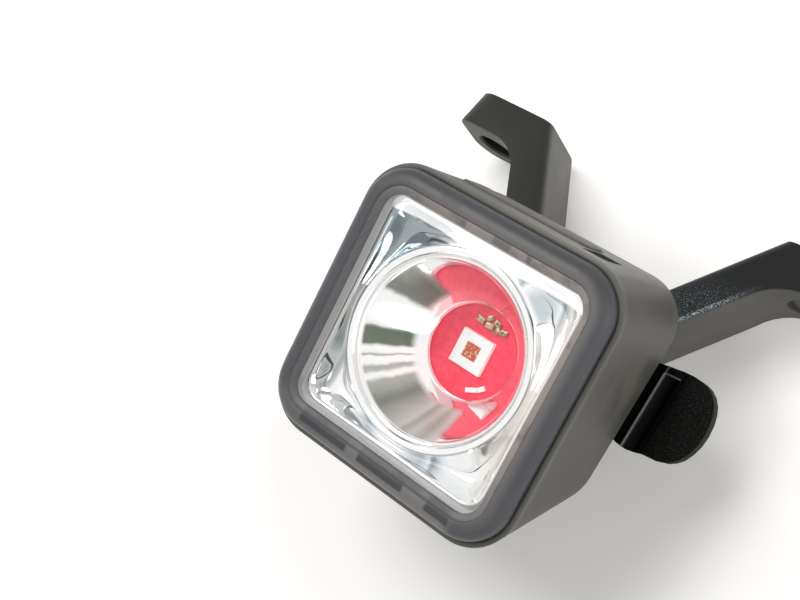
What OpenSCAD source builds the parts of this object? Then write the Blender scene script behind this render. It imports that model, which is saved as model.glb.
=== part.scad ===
// Rear light for a bicycle: a small square lamp on a two-armed bracket that bolts up under a saddle.
// The origin lies midway between the two saddle bolts, on top of the bracket's pads.
// +X is to the lamp's right, +Y runs from the lens towards the saddle, +Z is up.

/* [Lamp body] */
// Side of the square lamp
body_w = 28; // [27:0.5:31]
// Rounding of the four long edges
corner_r = 5; // [4.4:0.1:6]
// Depth on the lamp's axis, from the bezel's front to the rear face
body_d = 17.3; // [17:0.1:19.5]
// Lean of the rear face, its top further back
rear_lean = 7.6; // [4:0.2:9]
// Rise of the underside towards the rear
belly_rise = 12; // [8:0.5:13]
// Station at which the underside lies half the lamp's side below its axis
belly_start = 2.2; // [1.9:0.1:2.6]
// Wall of the housing
wall = 1.6; // [1.4:0.1:1.9]
// Ledge behind the board, which also seats the rear cover
ledge_w = 1.2; // [1:0.1:1.5]
// Rim of the housing that shows round the bezel
rim_t = 0.5; // [0.45:0.05:0.8]
// Setback of that rim behind the bezel's front
rim_setback = 1.9; // [1.7:0.1:2.1]

/* [Bezel and window] */
// Depth of the bezel
bezel_d = 2.7; // [2.5:0.1:3.2]
// Rounding of the bezel's outer bead
bead_r = 1.6; // [1.3:0.1:1.7]
// Drop from the bead's crown to the inner band
band_drop = 0.2; // [0.15:0.05:0.25]
// Width of the bezel's frame, from its outer edge to the window
bezel_band = 2.5; // [2.4:0.1:3]
// Width of the sloping inner band
band_w = 0.8; // [0.6:0.05:0.8]
// Thickness of the front lens
lens_t = 0.8; // [0.7:0.1:1]
// Setback of the lens behind the bezel's front
lens_setback = 0.6; // [0.55:0.05:0.7]
// Overlap of the bezel on the lens
lens_lap = 0.6; // [0.4:0.1:0.8]

/* [Reflector] */
// Margin between the ring lip and the window's edge
bowl_margin = 1.4; // [1.1:0.05:1.6]
// Width of the ring lip
lip_w = 0.8; // [0.6:0.05:0.9]
// Radius of the opening in the bowl's floor
floor_r = 4.9; // [4.6:0.05:5.2]
// Depth from the reflector's flange to the board
bowl_d = 6.9; // [6.6:0.1:7.4]
// Thickness of the reflector's walls
shell_t = 0.8; // [0.6:0.1:1]

/* [Electronics] */
// Thickness of the circuit board
board_t = 1; // [0.8:0.1:1.2]
// Side of the square light-emitting package
led_w = 3.5; // [3:0.1:4]
// Height of that package
led_t = 0.7; // [0.5:0.05:0.9]
// Side of the emitting die's window
die_w = 1.6; // [1.2:0.1:2]
// Thickness of the battery
cell_t = 3; // [2.6:0.1:3.2]
// Share of the rear cover's height that the battery leaves free below
cell_free = 0.24; // [0.2:0.01:0.3]
// Thickness of the foam pad behind the battery
foam_t = 0.4; // [0.3:0.1:0.6]
// Width of the charging socket
port_w = 7.6; // [7:0.1:8.4]
// Thickness of the charging socket
port_t = 2.6; // [2.4:0.1:2.8]
// Depth of the charging socket
port_d = 5; // [4.6:0.1:5.2]

/* [Button] */
// Length of the power button across the top
button_w = 14.6; // [12:0.2:15]
// Width of the power button from front to back
button_l = 5.2; // [4.4:0.1:5.6]
// Height that the button stands proud
button_proud = 0.25; // [0.1:0.05:0.4]
// Travel of the button
button_travel = 0.5; // [0.3:0.05:0.5]
// Diameter of the button's stem
stem_d = 1.7; // [1.4:0.1:1.8]
// Side of the indicator window
pip_w = 2; // [1.6:0.1:2.2]

/* [Port cover] */
// Length of the rubber port cover across the lamp
flap_w = 11; // [10:0.5:13]
// Width of the port cover
flap_l = 6.4; // [6:0.1:7]
// Thickness of the port cover
flap_t = 1; // [0.8:0.1:1.1]
// Distance of the port cover's middle in front of the socket
flap_lead = 1; // [0.8:0.1:1.2]

/* [Rear cover] */
// Depth of the recess that the rear cover fills
cover_t = 1.8; // [1.6:0.1:2]
// Thickness of the cover's seal
seal_t = 0.4; // [0.3:0.05:0.5]
// Rim of the housing round the rear cover
cover_rim = 1.4; // [1.2:0.1:1.6]
// Distance of each cover screw from the cover's two nearest edges
screw_in = 3; // [2.9:0.1:3.2]
// Diameter of the cover screws' thread
screw_d = 1.6; // [1.4:0.1:1.8]
// Diameter of their heads
head_d = 3.5; // [3:0.1:3.6]
// Height of their heads
head_t = 1; // [0.8:0.05:1.05]
// Clearance between the board and the screws' bosses
board_clear = 0.4; // [0.2:0.1:0.8]

/* [Slide foot] */
// Width of the foot's neck
neck_w = 5.8; // [5:0.2:6.6]
// Width of the foot's flange
foot_w = 10; // [9:0.2:10.4]
// Length of the neck
neck_l = 2.6; // [2.4:0.1:2.9]
// Thickness of the flange
foot_t = 2; // [1.8:0.1:2.2]
// Height of the foot
foot_h = 13; // [11:0.5:14]

/* [Bracket] */
// Distance between the two saddle bolts
bolt_span = 44; // [42:0.5:46]
// Diameter of the bolt holes
bolt_hole_d = 4.8; // [4.3:0.1:5.2]
// Diameter of the flat seat under each pad
seat_d = 9; // [8:0.2:9.4]
// Depth of that seat
seat_depth = 0.4; // [0.2:0.1:0.6]
// Horizontal distance from the lens to the bolts
saddle_reach = 39.5; // [39:0.1:43]
// Height of the bolts over the lamp's axis
saddle_drop = 22.1; // [21.5:0.1:25]
// Tilt of the pads, their front edge higher
pad_tilt = 14; // [12:0.5:16]
// Thickness of the pads
pad_t = 4.7; // [4:0.1:5.2]
// Reach of each pad past its bolt
pad_end = 4.2; // [4:0.1:5]
// Depth of the arms, front to back along the pads
arm_depth = 13.2; // [12:0.1:14]
// Depth of the pads at their outer ends
pad_depth = 11; // [10.4:0.1:11.8]
// Distance of the bolts behind the pads' front edge
pad_front = 4.8; // [4.4:0.1:5.4]
// Lean of the arms' front, measured from the bolts' direction
arm_lean = 17; // [14:0.5:19]
// Distance from each bolt in to the arm's inner top corner
arm_in = 6.7; // [6:0.1:7.4]
// Splay of each arm from upright
arm_splay = 31.8; // [30:0.2:33]
// Width of each arm, measured level
arm_w = 5; // [4.6:0.1:5.6]
// Fillet between each pad and its arm
arm_fillet = 6; // [5:0.1:6.6]
// Width of the column that joins the arms
column_w = 15; // [13:0.5:15.4]
// Height of the receiver's floor under the foot
floor_t = 2; // [1.6:0.1:2.6]
// Wall of the receiver round the foot
receiver_wall = 2.7; // [2.5:0.1:2.8]
// Thickness of the receiver behind the foot
receiver_back = 1.8; // [1.6:0.1:2.4]

/* [Release lever] */
// Height of the lever
lever_h = 8.8; // [8.6:0.1:10]
// Height of the lever's middle over the lamp's axis
lever_up = 2.1; // [1.8:0.1:2.4]
// Thickness of the lever
lever_t = 2.2; // [2:0.1:2.4]
// Distance of the lever's pin from the middle of the lamp
pin_x = 10.4; // [10.2:0.1:11]
// Distance of the pin behind the lamp's rear face
pin_back = 4; // [3.8:0.05:4.1]
// Diameter of the pin
pin_d = 2; // [1.6:0.1:2.2]
// Wall of the lever round its pin
hub_wall = 1; // [0.8:0.05:1.1]
// Reach of the thumb pad from the middle of the lamp
thumb_reach = 21.3; // [20.4:0.1:23]
// Thickness of the bracket's two ears
ear_t = 1.5; // [1.3:0.1:1.8]
// Wire of the lever's spring
wire_d = 0.5; // [0.4:0.05:0.5]
// Turns of the spring
spring_turns = 3; // [2:1:3]

/* [Clearances] */
// Gap round pieces that are set in a pocket
fit_gap = 0.1; // [0.05:0.01:0.15]
// Gap round the foot in its receiver
slide_gap = 0.3; // [0.2:0.02:0.35]
// Gap between the lamp's rear face and the bracket
back_gap = 0.6; // [0.5:0.05:0.8]
// Radial gap of the lever on its pin
pin_gap = 0.05; // [0.03:0.01:0.08]
// Gap between the lever and the bracket's ears
ear_gap = 0.2; // [0.15:0.05:0.3]

/* [Hidden] */
$fn = 64;
big = 90;
nick = 0.01;

// Stations along the lamp's axis, behind the bezel's front
bezel_w = body_w - 2 * rim_t - 2 * fit_gap;
bezel_r = corner_r - rim_t - fit_gap;
window_w = bezel_w - 2 * bezel_band;
window_r = bezel_r - bezel_band;
band_in = bezel_band - band_w;
lens_back = lens_setback + lens_t;
lens_w = window_w + 2 * lens_lap;
lens_r = window_r + lens_lap;
border_w = window_w - bowl_margin / 2;
bowl_r = window_w / 2 - bowl_margin - lip_w;
flange_back = bezel_d + shell_t;
board_front = bezel_d + bowl_d;
board_back = board_front + board_t;
lip_y = lens_back + fit_gap;
bowl_fall = (bowl_r * bowl_r - floor_r * floor_r) / (board_front - lip_y);
function bowl_at(y) = sqrt(floor_r * floor_r + bowl_fall * (board_front - y));
cavity_w = body_w - 2 * wall;
rear_cavity_w = cavity_w - 2 * ledge_w;

// Rear face: its ends along the lean, and the cover let into it
rear_top = body_w / 2 / cos(rear_lean);
rear_low = (-body_w / 2 + (body_d - belly_start) * tan(belly_rise))
           / (cos(rear_lean) - sin(rear_lean) * tan(belly_rise));
recess_w = body_w - 2 * cover_rim;
recess_h = rear_top - rear_low - 2 * cover_rim;
recess_mid = (rear_top + rear_low) / 2;
recess_r = corner_r - cover_rim;
cover_w = recess_w - 2 * fit_gap;
cover_h = recess_h - 2 * fit_gap;
screw_x = recess_w / 2 - screw_in;
screw_z = recess_h / 2 - screw_in;
boss_wall = 1.1;
boss_r = screw_d / 2 + boss_wall;
boss_room = (body_d + (recess_mid - screw_z) * sin(rear_lean) - board_back) / cos(rear_lean) - cover_t;
boss_l = boss_room - board_clear - boss_r * tan(rear_lean);
screw_l = cover_t + boss_l - 2 * boss_wall - head_t;
seal_w = 1.2;

// Battery, hung from the rear cover between the screw bosses
cell_gap = 0.3;
foam_margin = 2;
lead_d = 0.9;
lead_drop = 2;
cell_w = 2 * (screw_x - boss_r - cell_gap);
cell_back = -cover_t - foam_t + seal_t;
cell_top = (rear_cavity_w / 2 - cell_gap - (cell_t - cell_back) * sin(rear_lean)) / cos(rear_lean);
cell_low = recess_mid - recess_h / 2 + cell_free * recess_h;
cell_h = cell_top - cell_low;
cell_z = (cell_top + cell_low) / 2;

// Charging socket, on the back of the board at its lower edge
port_y = board_back + port_t / 2;
belly_at_port = -body_w / 2 + (port_y - belly_start) * tan(belly_rise);
port_sink = 1.5;
port_low = belly_at_port + port_sink;
port_skin = 0.3;
tongue_t = 0.7;
tongue_in = 1.2;
tongue_back = 1;
mouth_gap = 0.4;
flap_hinge_r = flap_t / 2;
port_along = (port_y - belly_start) / cos(belly_rise);
flap_along = port_along - flap_lead;
plug_h = 0.5;

// Small parts on the board's front
chip_w = 0.9;
chip_h = 0.5;
chip_t = 0.4;
chip_off = led_w / 2 + 1.2;
pip_led_w = 1.6;
pip_led_h = 0.8;
pip_led_t = 0.6;

// Power button over the switch, which sits on the back of the board
switch_w = 6;
switch_t = 2.1;
switch_h = 2.6;
plunger_d = 1.4;
plunger_up = 0.8;
switch_y = board_back + switch_t / 2;
switch_top = rear_cavity_w / 2 - plunger_up;
well_d = 1.05;
button_t = well_d - button_travel - 0.05;
button_x = -1.7;
button_y = switch_y - 1;
pip_x = button_x + button_w / 2 + 0.9 + pip_w / 2;
pip_y = button_y - button_l / 2 + pip_w / 2;

// Foot and receiver, measured from the rear face along its lean
foot_low = -foot_h / 2;
lip_front = back_gap;
lip_back = neck_l - slide_gap;
channel_back = neck_l + foot_t + slide_gap;
receiver_w = foot_w + 2 * slide_gap + 2 * receiver_wall;
receiver_low = foot_low - floor_t;
lever_z = lever_up / cos(rear_lean) + pin_back * tan(rear_lean);
receiver_top = lever_z + lever_h / 2 + ear_gap + ear_t;

// Arms and pads, measured from the origin along the tilt
tip_x = bolt_span / 2 + pad_end;
inner_x = bolt_span / 2 - arm_in;
slab_t = arm_depth * cos(arm_lean);
lug_t = pad_depth * cos(arm_lean);
tip_r = 3;
arm_low = -45;

// Lever, its hub and its nose
hub_r = pin_d / 2 + hub_wall;
thumb_r = lever_h / 2;
thumb_x = thumb_reach - thumb_r;
rib_w = 0.7;
rib_h = 0.5;
rib_x = thumb_x - 2.2;
coil_r = pin_d / 2 + 0.2 + wire_d / 2;
coil_pitch = wire_d + 0.46;
coil_h = spring_turns * coil_pitch + wire_d;
coil_room = coil_h + 0.6;
nose_x = neck_w / 2 + slide_gap + 0.9;
nose_t = 0.9;
nose_h = 2;
nose_z = lever_z - lever_h / 2 + 0.6 + nose_h / 2;
nose_gap = 0.15;

// Shared shapes

// The lamp's own frame, with the bezel's front on its axis
module lamp() {
    translate([0, -saddle_reach, -saddle_drop]) children();
}

// The rear face, with Y straight out of it and Z up along its lean
module on_rear() {
    translate([0, body_d, 0]) rotate([-rear_lean, 0, 0]) children();
}

// The rising underside, with Y along it towards the rear and Z into the lamp
module on_belly() {
    translate([0, belly_start, -body_w / 2]) rotate([belly_rise, 0, 0]) children();
}

// The pads' tilt, with Y back along them and Z up along the bolts
module on_pads() {
    rotate([-pad_tilt, 0, 0]) children();
}

// Flat rectangle with round corners
module round_rect(w, h, r) {
    square([w - 2 * r, h], center = true);
    square([w, h - 2 * r], center = true);
    for (x = [-1, 1], y = [-1, 1])
        translate([x * (w / 2 - r), y * (h / 2 - r)]) circle(r);
}

// Rounded block across the lamp's axis, from one station to another
module block(w, h, r, from, to) {
    translate([0, to, 0]) rotate([90, 0, 0]) linear_extrude(to - from) round_rect(w, h, r);
}

// Block with round top corners only, open-ended downwards
module arched(w, r, from, to) {
    translate([0, to, 0]) rotate([90, 0, 0]) linear_extrude(to - from) {
        translate([-w / 2, -big / 2]) square([w, big / 2 + w / 2 - r]);
        translate([-w / 2 + r, 0]) square([w - 2 * r, w / 2]);
        for (x = [-1, 1])
            translate([x * (w / 2 - r), w / 2 - r]) circle(r);
    }
}

// Square ring across the lamp's axis
module ring(outer, outer_r, inner, inner_r, from, to) {
    difference() {
        block(outer, outer, outer_r, from, to);
        block(inner, inner, inner_r, from - 1, to + 1);
    }
}

// Everything above the underside, less an inset all round, with its lower edges rounded
module above_belly(inset) {
    w = body_w - 2 * inset + 4 * nick;
    r = corner_r - inset > 0.6 ? corner_r - inset : 0.6;
    on_belly() translate([0, big / 2, inset]) rotate([90, 0, 0]) linear_extrude(big) {
        translate([-w / 2, r]) square([w, big / 2]);
        translate([-w / 2 + r, 0]) square([w - 2 * r, big / 2]);
        for (x = [-1, 1])
            translate([x * (w / 2 - r), r]) circle(r);
    }
}

// Profile swept round a square with round corners, its x measured from the corners' centres
module square_sweep(w, r) {
    side = w - 2 * r;
    for (k = [0:3])
        rotate([0, 90 * k, 0]) {
            translate([side / 2, 0, -side / 2]) linear_extrude(side) children();
            translate([side / 2, 0, -side / 2]) rotate([-90, 0, 0]) rotate_extrude(angle = 90) children();
        }
}

// The four cover screws' places
module at_screws() {
    for (x = [-1, 1], z = [-1, 1])
        translate([x * screw_x, 0, recess_mid + z * screw_z]) rotate([90, 0, 0]) children();
}

// Lamp body

module housing() color([0.34, 0.33, 0.31]) lamp() difference() {
    union() {
        difference() {
            intersection() {
                arched(body_w, corner_r, rim_setback, body_d + corner_r);
                above_belly(0);
            }
            block(body_w - 2 * rim_t, body_w - 2 * rim_t, corner_r - rim_t, -1, bezel_d);
            intersection() {
                arched(cavity_w, corner_r - wall, 0, board_back);
                above_belly(wall);
            }
            intersection() {
                arched(rear_cavity_w, corner_r - wall - ledge_w, 0, body_d + corner_r);
                above_belly(wall + ledge_w);
            }
        }
        on_rear() at_screws() translate([0, 0, cover_t]) cylinder(r = boss_r, h = boss_l);
    }
    on_rear() translate([-big / 2, 0, -big / 2]) cube(big);
    on_rear() translate([0, 0, recess_mid]) block(recess_w, recess_h, recess_r, -cover_t, 1);
    on_rear() at_screws() cylinder(d = screw_d + 2 * nick, h = cover_t + boss_l - boss_wall);
    button_well();
    translate([pip_x, pip_y, 0]) linear_extrude(body_w)
        square(pip_w + 2 * fit_gap, center = true);
    port_way();
    flap_well();
}

module button_well() {
    translate([button_x, button_y, body_w / 2 - well_d])
        linear_extrude(big) round_rect(button_w + 4 * fit_gap, button_l + 4 * fit_gap, 1 + 2 * fit_gap);
    translate([0, switch_y, 0]) cylinder(d = stem_d + 4 * fit_gap, h = body_w);
}

// Way for the socket and its plug, through the wall under the board
module port_way() {
    translate([-port_w / 2 - mouth_gap, port_y - port_t / 2, belly_at_port - 2])
        cube([port_w + 2 * mouth_gap, port_t + mouth_gap, port_d + 2]);
}

module flap_well() {
    on_belly() translate([0, flap_along, -2])
        linear_extrude(2 + flap_t + fit_gap) square([flap_w + 4 * fit_gap, flap_l + 4 * fit_gap], center = true);
}

module bezel() color([0.27, 0.28, 0.3]) lamp() square_sweep(bezel_w, bezel_r) {
    seat_in = bezel_band - lens_lap - fit_gap;
    bead = [for (a = [0:15:90]) [bezel_r - bead_r + bead_r * cos(a), bead_r - bead_r * sin(a)]];
    rest = [[bezel_r - band_in + nick, 0], [bezel_r - band_in, band_drop], [window_r, 2 * band_drop],
            [window_r, lens_setback], [bezel_r - seat_in, lens_setback],
            [bezel_r - seat_in, bezel_d], [bezel_r, bezel_d]];
    polygon(concat(bead, rest));
}

module front_lens() color([0.85, 0.88, 0.9, 0.35]) lamp()
    block(lens_w, lens_w, lens_r, lens_setback, lens_back);

module lens_gasket() color([0.8, 0.81, 0.81]) lamp()
    ring(lens_w, lens_r, border_w + 2 * fit_gap, window_r / 2, lens_back, bezel_d);

// Square flange with a raised border and ring lip, round a bowl that follows a parabola
module reflector() color([0.86, 0.87, 0.88]) lamp() {
    stations = [for (i = [0:10]) lip_y + (board_front - lip_y) * i / 10];
    inner = [for (y = stations) [bowl_at(y), y]];
    outer = [for (i = [10:-1:1]) [bowl_at(stations[i]) + shell_t, stations[i]]];
    rotate([-90, 0, 0]) rotate_extrude() polygon(concat(inner, outer, [[bowl_r + lip_w, lip_y]]));
    difference() {
        intersection() {
            arched(cavity_w - 2 * fit_gap, corner_r - wall, bezel_d, flange_back);
            above_belly(wall + fit_gap);
        }
        rotate([-90, 0, 0]) cylinder(r = bowl_at((bezel_d + flange_back) / 2) + shell_t / 2, h = big);
    }
    ring(border_w, window_r / 2, 2 * (bowl_r + lip_w), window_r / 3, lip_y, bezel_d);
}

// Electronics

module led_board() color([0.75, 0.06, 0.08]) lamp() intersection() {
    arched(cavity_w - 2 * fit_gap, corner_r - wall, board_front, board_back);
    above_belly(wall + fit_gap);
}

module led_package() color([0.93, 0.92, 0.88]) lamp() difference() {
    block(led_w, led_w, 0.2, board_front - led_t, board_front);
    block(die_w, die_w, 0.1, 0, board_front - led_t / 2);
}

module led_die() color([0.8, 0.05, 0.06]) lamp()
    block(die_w - 2 * nick, die_w - 2 * nick, 0.1, board_front - led_t + 0.05, board_front - led_t / 2);

// Chip resistors and capacitors that show beside the light source
module board_components() color([0.6, 0.5, 0.3]) lamp()
    for (a = [40, 60, 80, -45])
        rotate([0, -a, 0]) translate([chip_off, 0, 0]) rotate([0, a, 0])
            translate([-chip_w / 2, board_front - chip_t, -chip_h / 2]) cube([chip_w, chip_t, chip_h]);

module indicator_led() color([0.9, 0.85, 0.6]) lamp()
    translate([pip_x - pip_led_w / 2, board_front - pip_led_t, cavity_w / 2 - 2 * pip_led_h])
        cube([pip_led_w, pip_led_t, pip_led_h]);

module indicator_window() color([0.1, 0.1, 0.11]) lamp()
    translate([pip_x, pip_y, cavity_w / 2]) linear_extrude(wall) square(pip_w, center = true);

module tact_switch() color([0.2, 0.2, 0.22]) lamp() difference() {
    translate([-switch_w / 2, board_back, switch_top - switch_h]) cube([switch_w, switch_t, switch_h]);
    translate([0, switch_y, switch_top - 1.2]) cylinder(d = plunger_d + 4 * fit_gap, h = 2);
}

module switch_plunger() color([0.75, 0.73, 0.68]) lamp()
    translate([0, switch_y, switch_top - 0.6]) cylinder(d = plunger_d, h = 0.6 + plunger_up);

module power_button() color([0.3, 0.29, 0.28]) lamp() {
    translate([button_x, button_y, body_w / 2 - button_t])
        linear_extrude(button_t + button_proud) round_rect(button_w, button_l, 1);
    stem_low = switch_top + plunger_up + 0.05;
    translate([0, switch_y, stem_low]) cylinder(d = stem_d, h = body_w / 2 - stem_low);
}

module battery() color([0.7, 0.72, 0.74]) lamp() on_rear() translate([0, 0, cell_z])
    block(cell_w, cell_h, 1, cell_back - cell_t, cell_back);

module battery_pad() color([0.15, 0.15, 0.16]) lamp() on_rear() translate([0, 0, cell_z])
    block(cell_w - 2 * foam_margin, cell_h - 2 * foam_margin, foam_t, cell_back, cell_back + foam_t);

// Two leads from the battery's face to the board
module battery_leads() color([0.7, 0.1, 0.1]) lamp() difference() {
    for (x = [-1, 1])
        translate([x * cell_w / 5, board_back, cell_z - lead_drop]) rotate([-90, 0, 0])
            cylinder(d = lead_d, h = body_d);
    on_rear() translate([-big / 2, cell_back - cell_t, -big / 2]) cube(big);
}

module charging_port() color([0.75, 0.76, 0.78]) lamp() translate([0, port_y, port_low])
    difference() {
        linear_extrude(port_d) round_rect(port_w, port_t, 0.6);
        translate([0, 0, -1]) linear_extrude(port_d)
            round_rect(port_w - 2 * port_skin, port_t - 2 * port_skin, 0.4);
    }

module port_tongue() color([0.1, 0.1, 0.1]) lamp() translate([0, port_y, port_low + tongue_back])
    linear_extrude(port_d - 2 * tongue_back) square([port_w - 2 * tongue_in, tongue_t], center = true);

// Rubber cover let into the underside, hinged on its rear edge, with a plug for the socket's mouth
module port_cover() color([0.1, 0.1, 0.1]) lamp() on_belly() translate([0, flap_along, 0]) {
    translate([-flap_w / 2, -flap_l / 2, 0]) cube([flap_w, flap_l - flap_hinge_r, flap_t]);
    translate([-flap_w / 2, flap_l / 2 - flap_hinge_r, flap_hinge_r]) rotate([0, 90, 0])
        cylinder(r = flap_hinge_r, h = flap_w);
    translate([0, flap_lead, flap_t]) linear_extrude(plug_h)
        round_rect(port_w - 1, port_t - 1, 0.5);
}

// Rear cover and its fixings

module rear_cover() color([0.3, 0.29, 0.28]) lamp() on_rear() {
    difference() {
        translate([0, 0, recess_mid]) block(cover_w, cover_h, recess_r - fit_gap, seal_t - cover_t, 0);
        at_screws() {
            translate([0, 0, -1]) cylinder(d = head_d + 4 * fit_gap, h = 1 + head_t + fit_gap);
            cylinder(d = screw_d + 2 * fit_gap, h = big);
        }
    }
    translate([-neck_w / 2, -nick, foot_low]) cube([neck_w, neck_l + 2 * nick, foot_h]);
    difference() {
        translate([-foot_w / 2, neck_l, foot_low]) cube([foot_w, foot_t, foot_h]);
        translate([neck_w / 2, neck_l - 1, nose_z - nose_h / 2 - slide_gap])
            cube([foot_w, 1.6, nose_h + 2 * slide_gap]);
    }
}

module cover_seal() color([0.08, 0.08, 0.08]) lamp() on_rear() translate([0, 0, recess_mid]) difference() {
    block(cover_w, cover_h, recess_r - fit_gap, -cover_t, seal_t - cover_t);
    block(cover_w - 2 * seal_w, cover_h - 2 * seal_w, recess_r - fit_gap - seal_w, -big / 2, 1);
}

module cover_screws() color([0.55, 0.55, 0.57]) lamp() on_rear() at_screws()
    translate([0, 0, fit_gap]) difference() {
        union() {
            cylinder(d = head_d, h = head_t);
            cylinder(d = screw_d, h = head_t + screw_l);
        }
        translate([0, 0, -nick]) cylinder(d = 1.7, h = head_t * 0.6, $fn = 6);
    }

// Bracket

module bracket() color([0.22, 0.22, 0.21]) difference() {
    union() {
        arms();
        lamp() on_rear() {
            translate([-receiver_w / 2, lip_front, receiver_low])
                cube([receiver_w, channel_back + receiver_back - lip_front, receiver_top - receiver_low]);
            for (z = [lever_z - lever_h / 2 - ear_gap - ear_t, lever_z + lever_h / 2 + ear_gap])
                translate([0, 0, z]) linear_extrude(ear_t) {
                    translate([0, pin_back - hub_r]) square([pin_x, 2 * hub_r]);
                    translate([pin_x, pin_back]) circle(hub_r);
                }
        }
    }
    lamp() on_rear() {
        translate([-big / 2, -big / 2, receiver_low - big]) cube(big);
        translate([-big / 2, lip_front - big, -big / 2]) cube(big);
        channel();
        nose_window();
        translate([pin_x, pin_back, receiver_low]) cylinder(d = pin_d + 2 * nick, h = big);
    }
    on_pads() for (x = [-1, 1]) translate([x * bolt_span / 2, 0, 0]) {
        translate([0, 0, -big / 4]) cylinder(d = bolt_hole_d, h = big / 2);
        translate([0, 0, -big / 4]) cylinder(d = seat_d, h = big / 4 - pad_t + seat_depth);
    }
}

// Both arms, their pads and the column, cut to a leaning slab with round ends
module arms() {
    on_pads() intersection() {
        translate([0, big / 2, 0]) rotate([90, 0, 0]) linear_extrude(big) arm_outline();
        translate([0, -pad_front, 0]) rotate([-arm_lean, 0, 0]) translate([0, slab_t / 2, -big / 2])
            linear_extrude(big) arm_plan();
    }
}

// Plan of the arms: full depth at the legs, drawn in to the pads' round ends
module arm_plan() {
    translate([0, (lug_t - slab_t) / 2]) round_rect(2 * tip_x, lug_t, tip_r);
    leg_end = inner_x + arm_w;
    polygon([[-leg_end, -slab_t / 2], [leg_end, -slab_t / 2], [leg_end, lug_t - slab_t / 2], [inner_x, slab_t / 2],
             [-inner_x, slab_t / 2], [-leg_end, lug_t - slab_t / 2]]);
}

// Front view of the arms: two splayed legs, outward pads with a fillet under each, and the column
module arm_outline() {
    splay = tan(arm_splay);
    crotch_z = -inner_x / splay;
    difference() {
        union() {
            for (x = [-1, 1]) scale([x, 1]) {
                polygon([[inner_x, 0], [tip_x, 0], [tip_x, -pad_t], [inner_x + arm_w - splay * pad_t, -pad_t],
                         [inner_x + arm_w + splay * arm_low, arm_low], [inner_x + splay * arm_low, arm_low]]);
                pad_fillet();
            }
            translate([-column_w / 2, arm_low])
                square([column_w, (column_w / 2 - inner_x - arm_w) / splay - arm_low]);
        }
        polygon([[0, crotch_z], [inner_x, 0], [inner_x, 1], [-inner_x, 1], [-inner_x, 0]]);
    }
}

// Concave fillet in the corner between a pad's underside and its arm
module pad_fillet() {
    splay = tan(arm_splay);
    corner = [inner_x + arm_w - splay * pad_t, -pad_t];
    turn = 90 - arm_splay;
    run = arm_fillet * tan(turn / 2);
    along = [corner[0] + run, corner[1]];
    down = [corner[0] - run * sin(arm_splay), corner[1] - run * cos(arm_splay)];
    difference() {
        polygon([corner + [-nick, nick], along + [0, nick], along, down, down + [-nick, 0]]);
        translate([along[0], along[1] - arm_fillet]) circle(arm_fillet);
    }
}

// Upright channel for the lamp's foot, open at the top and in front
module channel() {
    translate([-neck_w / 2 - slide_gap, 0, foot_low - nick])
        cube([neck_w + 2 * slide_gap, channel_back, big]);
    translate([-foot_w / 2 - slide_gap, lip_back, foot_low - nick])
        cube([foot_w + 2 * slide_gap, channel_back - lip_back, big]);
}

// Window for the lever's nose in the receiver's right wall, and a notch for the spring's leg behind it
module nose_window() {
    translate([neck_w / 2, 0, nose_z - nose_h / 2 - slide_gap])
        cube([big, channel_back, nose_h + 2 * slide_gap]);
    translate([receiver_w / 2 - 1.3, pin_back + lever_t / 2, lever_z - coil_room / 2])
        cube([3, coil_r, coil_room]);
}

// Release lever

module release_lever() color([0.07, 0.07, 0.07]) lamp() on_rear() difference() {
    union() {
        translate([0, pin_back + lever_t / 2, lever_z]) rotate([90, 0, 0]) linear_extrude(lever_t) {
            translate([pin_x, -lever_h / 2]) square([thumb_x - pin_x, lever_h]);
            translate([thumb_x, 0]) circle(thumb_r);
        }
        translate([pin_x, pin_back, lever_z - lever_h / 2]) cylinder(r = hub_r, h = lever_h);
        translate([rib_x, pin_back - lever_t / 2 - rib_h, lever_z - lever_h / 2 + 0.5])
            cube([rib_w, rib_h + nick, lever_h - 1]);
        translate([0, 0, nose_z - nose_h / 2]) linear_extrude(nose_h) nose();
        translate([thumb_x + 0.6, pin_back - lever_t / 2 + nick, lever_z]) rotate([90, 0, 0])
            linear_extrude(rib_h) intersection() {
                circle(thumb_r - 0.5);
                translate([0, -big / 2]) square([big, big]);
            }
    }
    translate([pin_x, pin_back, 0]) {
        translate([0, 0, -big / 2]) cylinder(d = pin_d + 2 * pin_gap, h = big);
        translate([0, 0, lever_z - coil_room / 2]) cylinder(r = hub_r + 0.4, h = coil_room);
    }
}

// Nose that reaches from the hub to the front of the foot's flange
module nose() {
    tip_y = neck_l - nose_gap;
    polygon([[nose_x, tip_y - nose_t], [pin_x - hub_r + 0.3, pin_back - hub_r + 0.5], [pin_x, pin_back - hub_r + 0.3],
             [pin_x, pin_back + 0.6], [pin_x - hub_r + 0.1, pin_back + 0.2],
             [foot_w / 2 + 2 * slide_gap, tip_y], [nose_x, tip_y]]);
}

module lever_pin() color([0.6, 0.6, 0.62]) lamp() on_rear()
    translate([pin_x, pin_back, lever_z - lever_h / 2 - ear_gap - ear_t])
        cylinder(d = pin_d, h = lever_h + 2 * ear_gap + 2 * ear_t);

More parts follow.
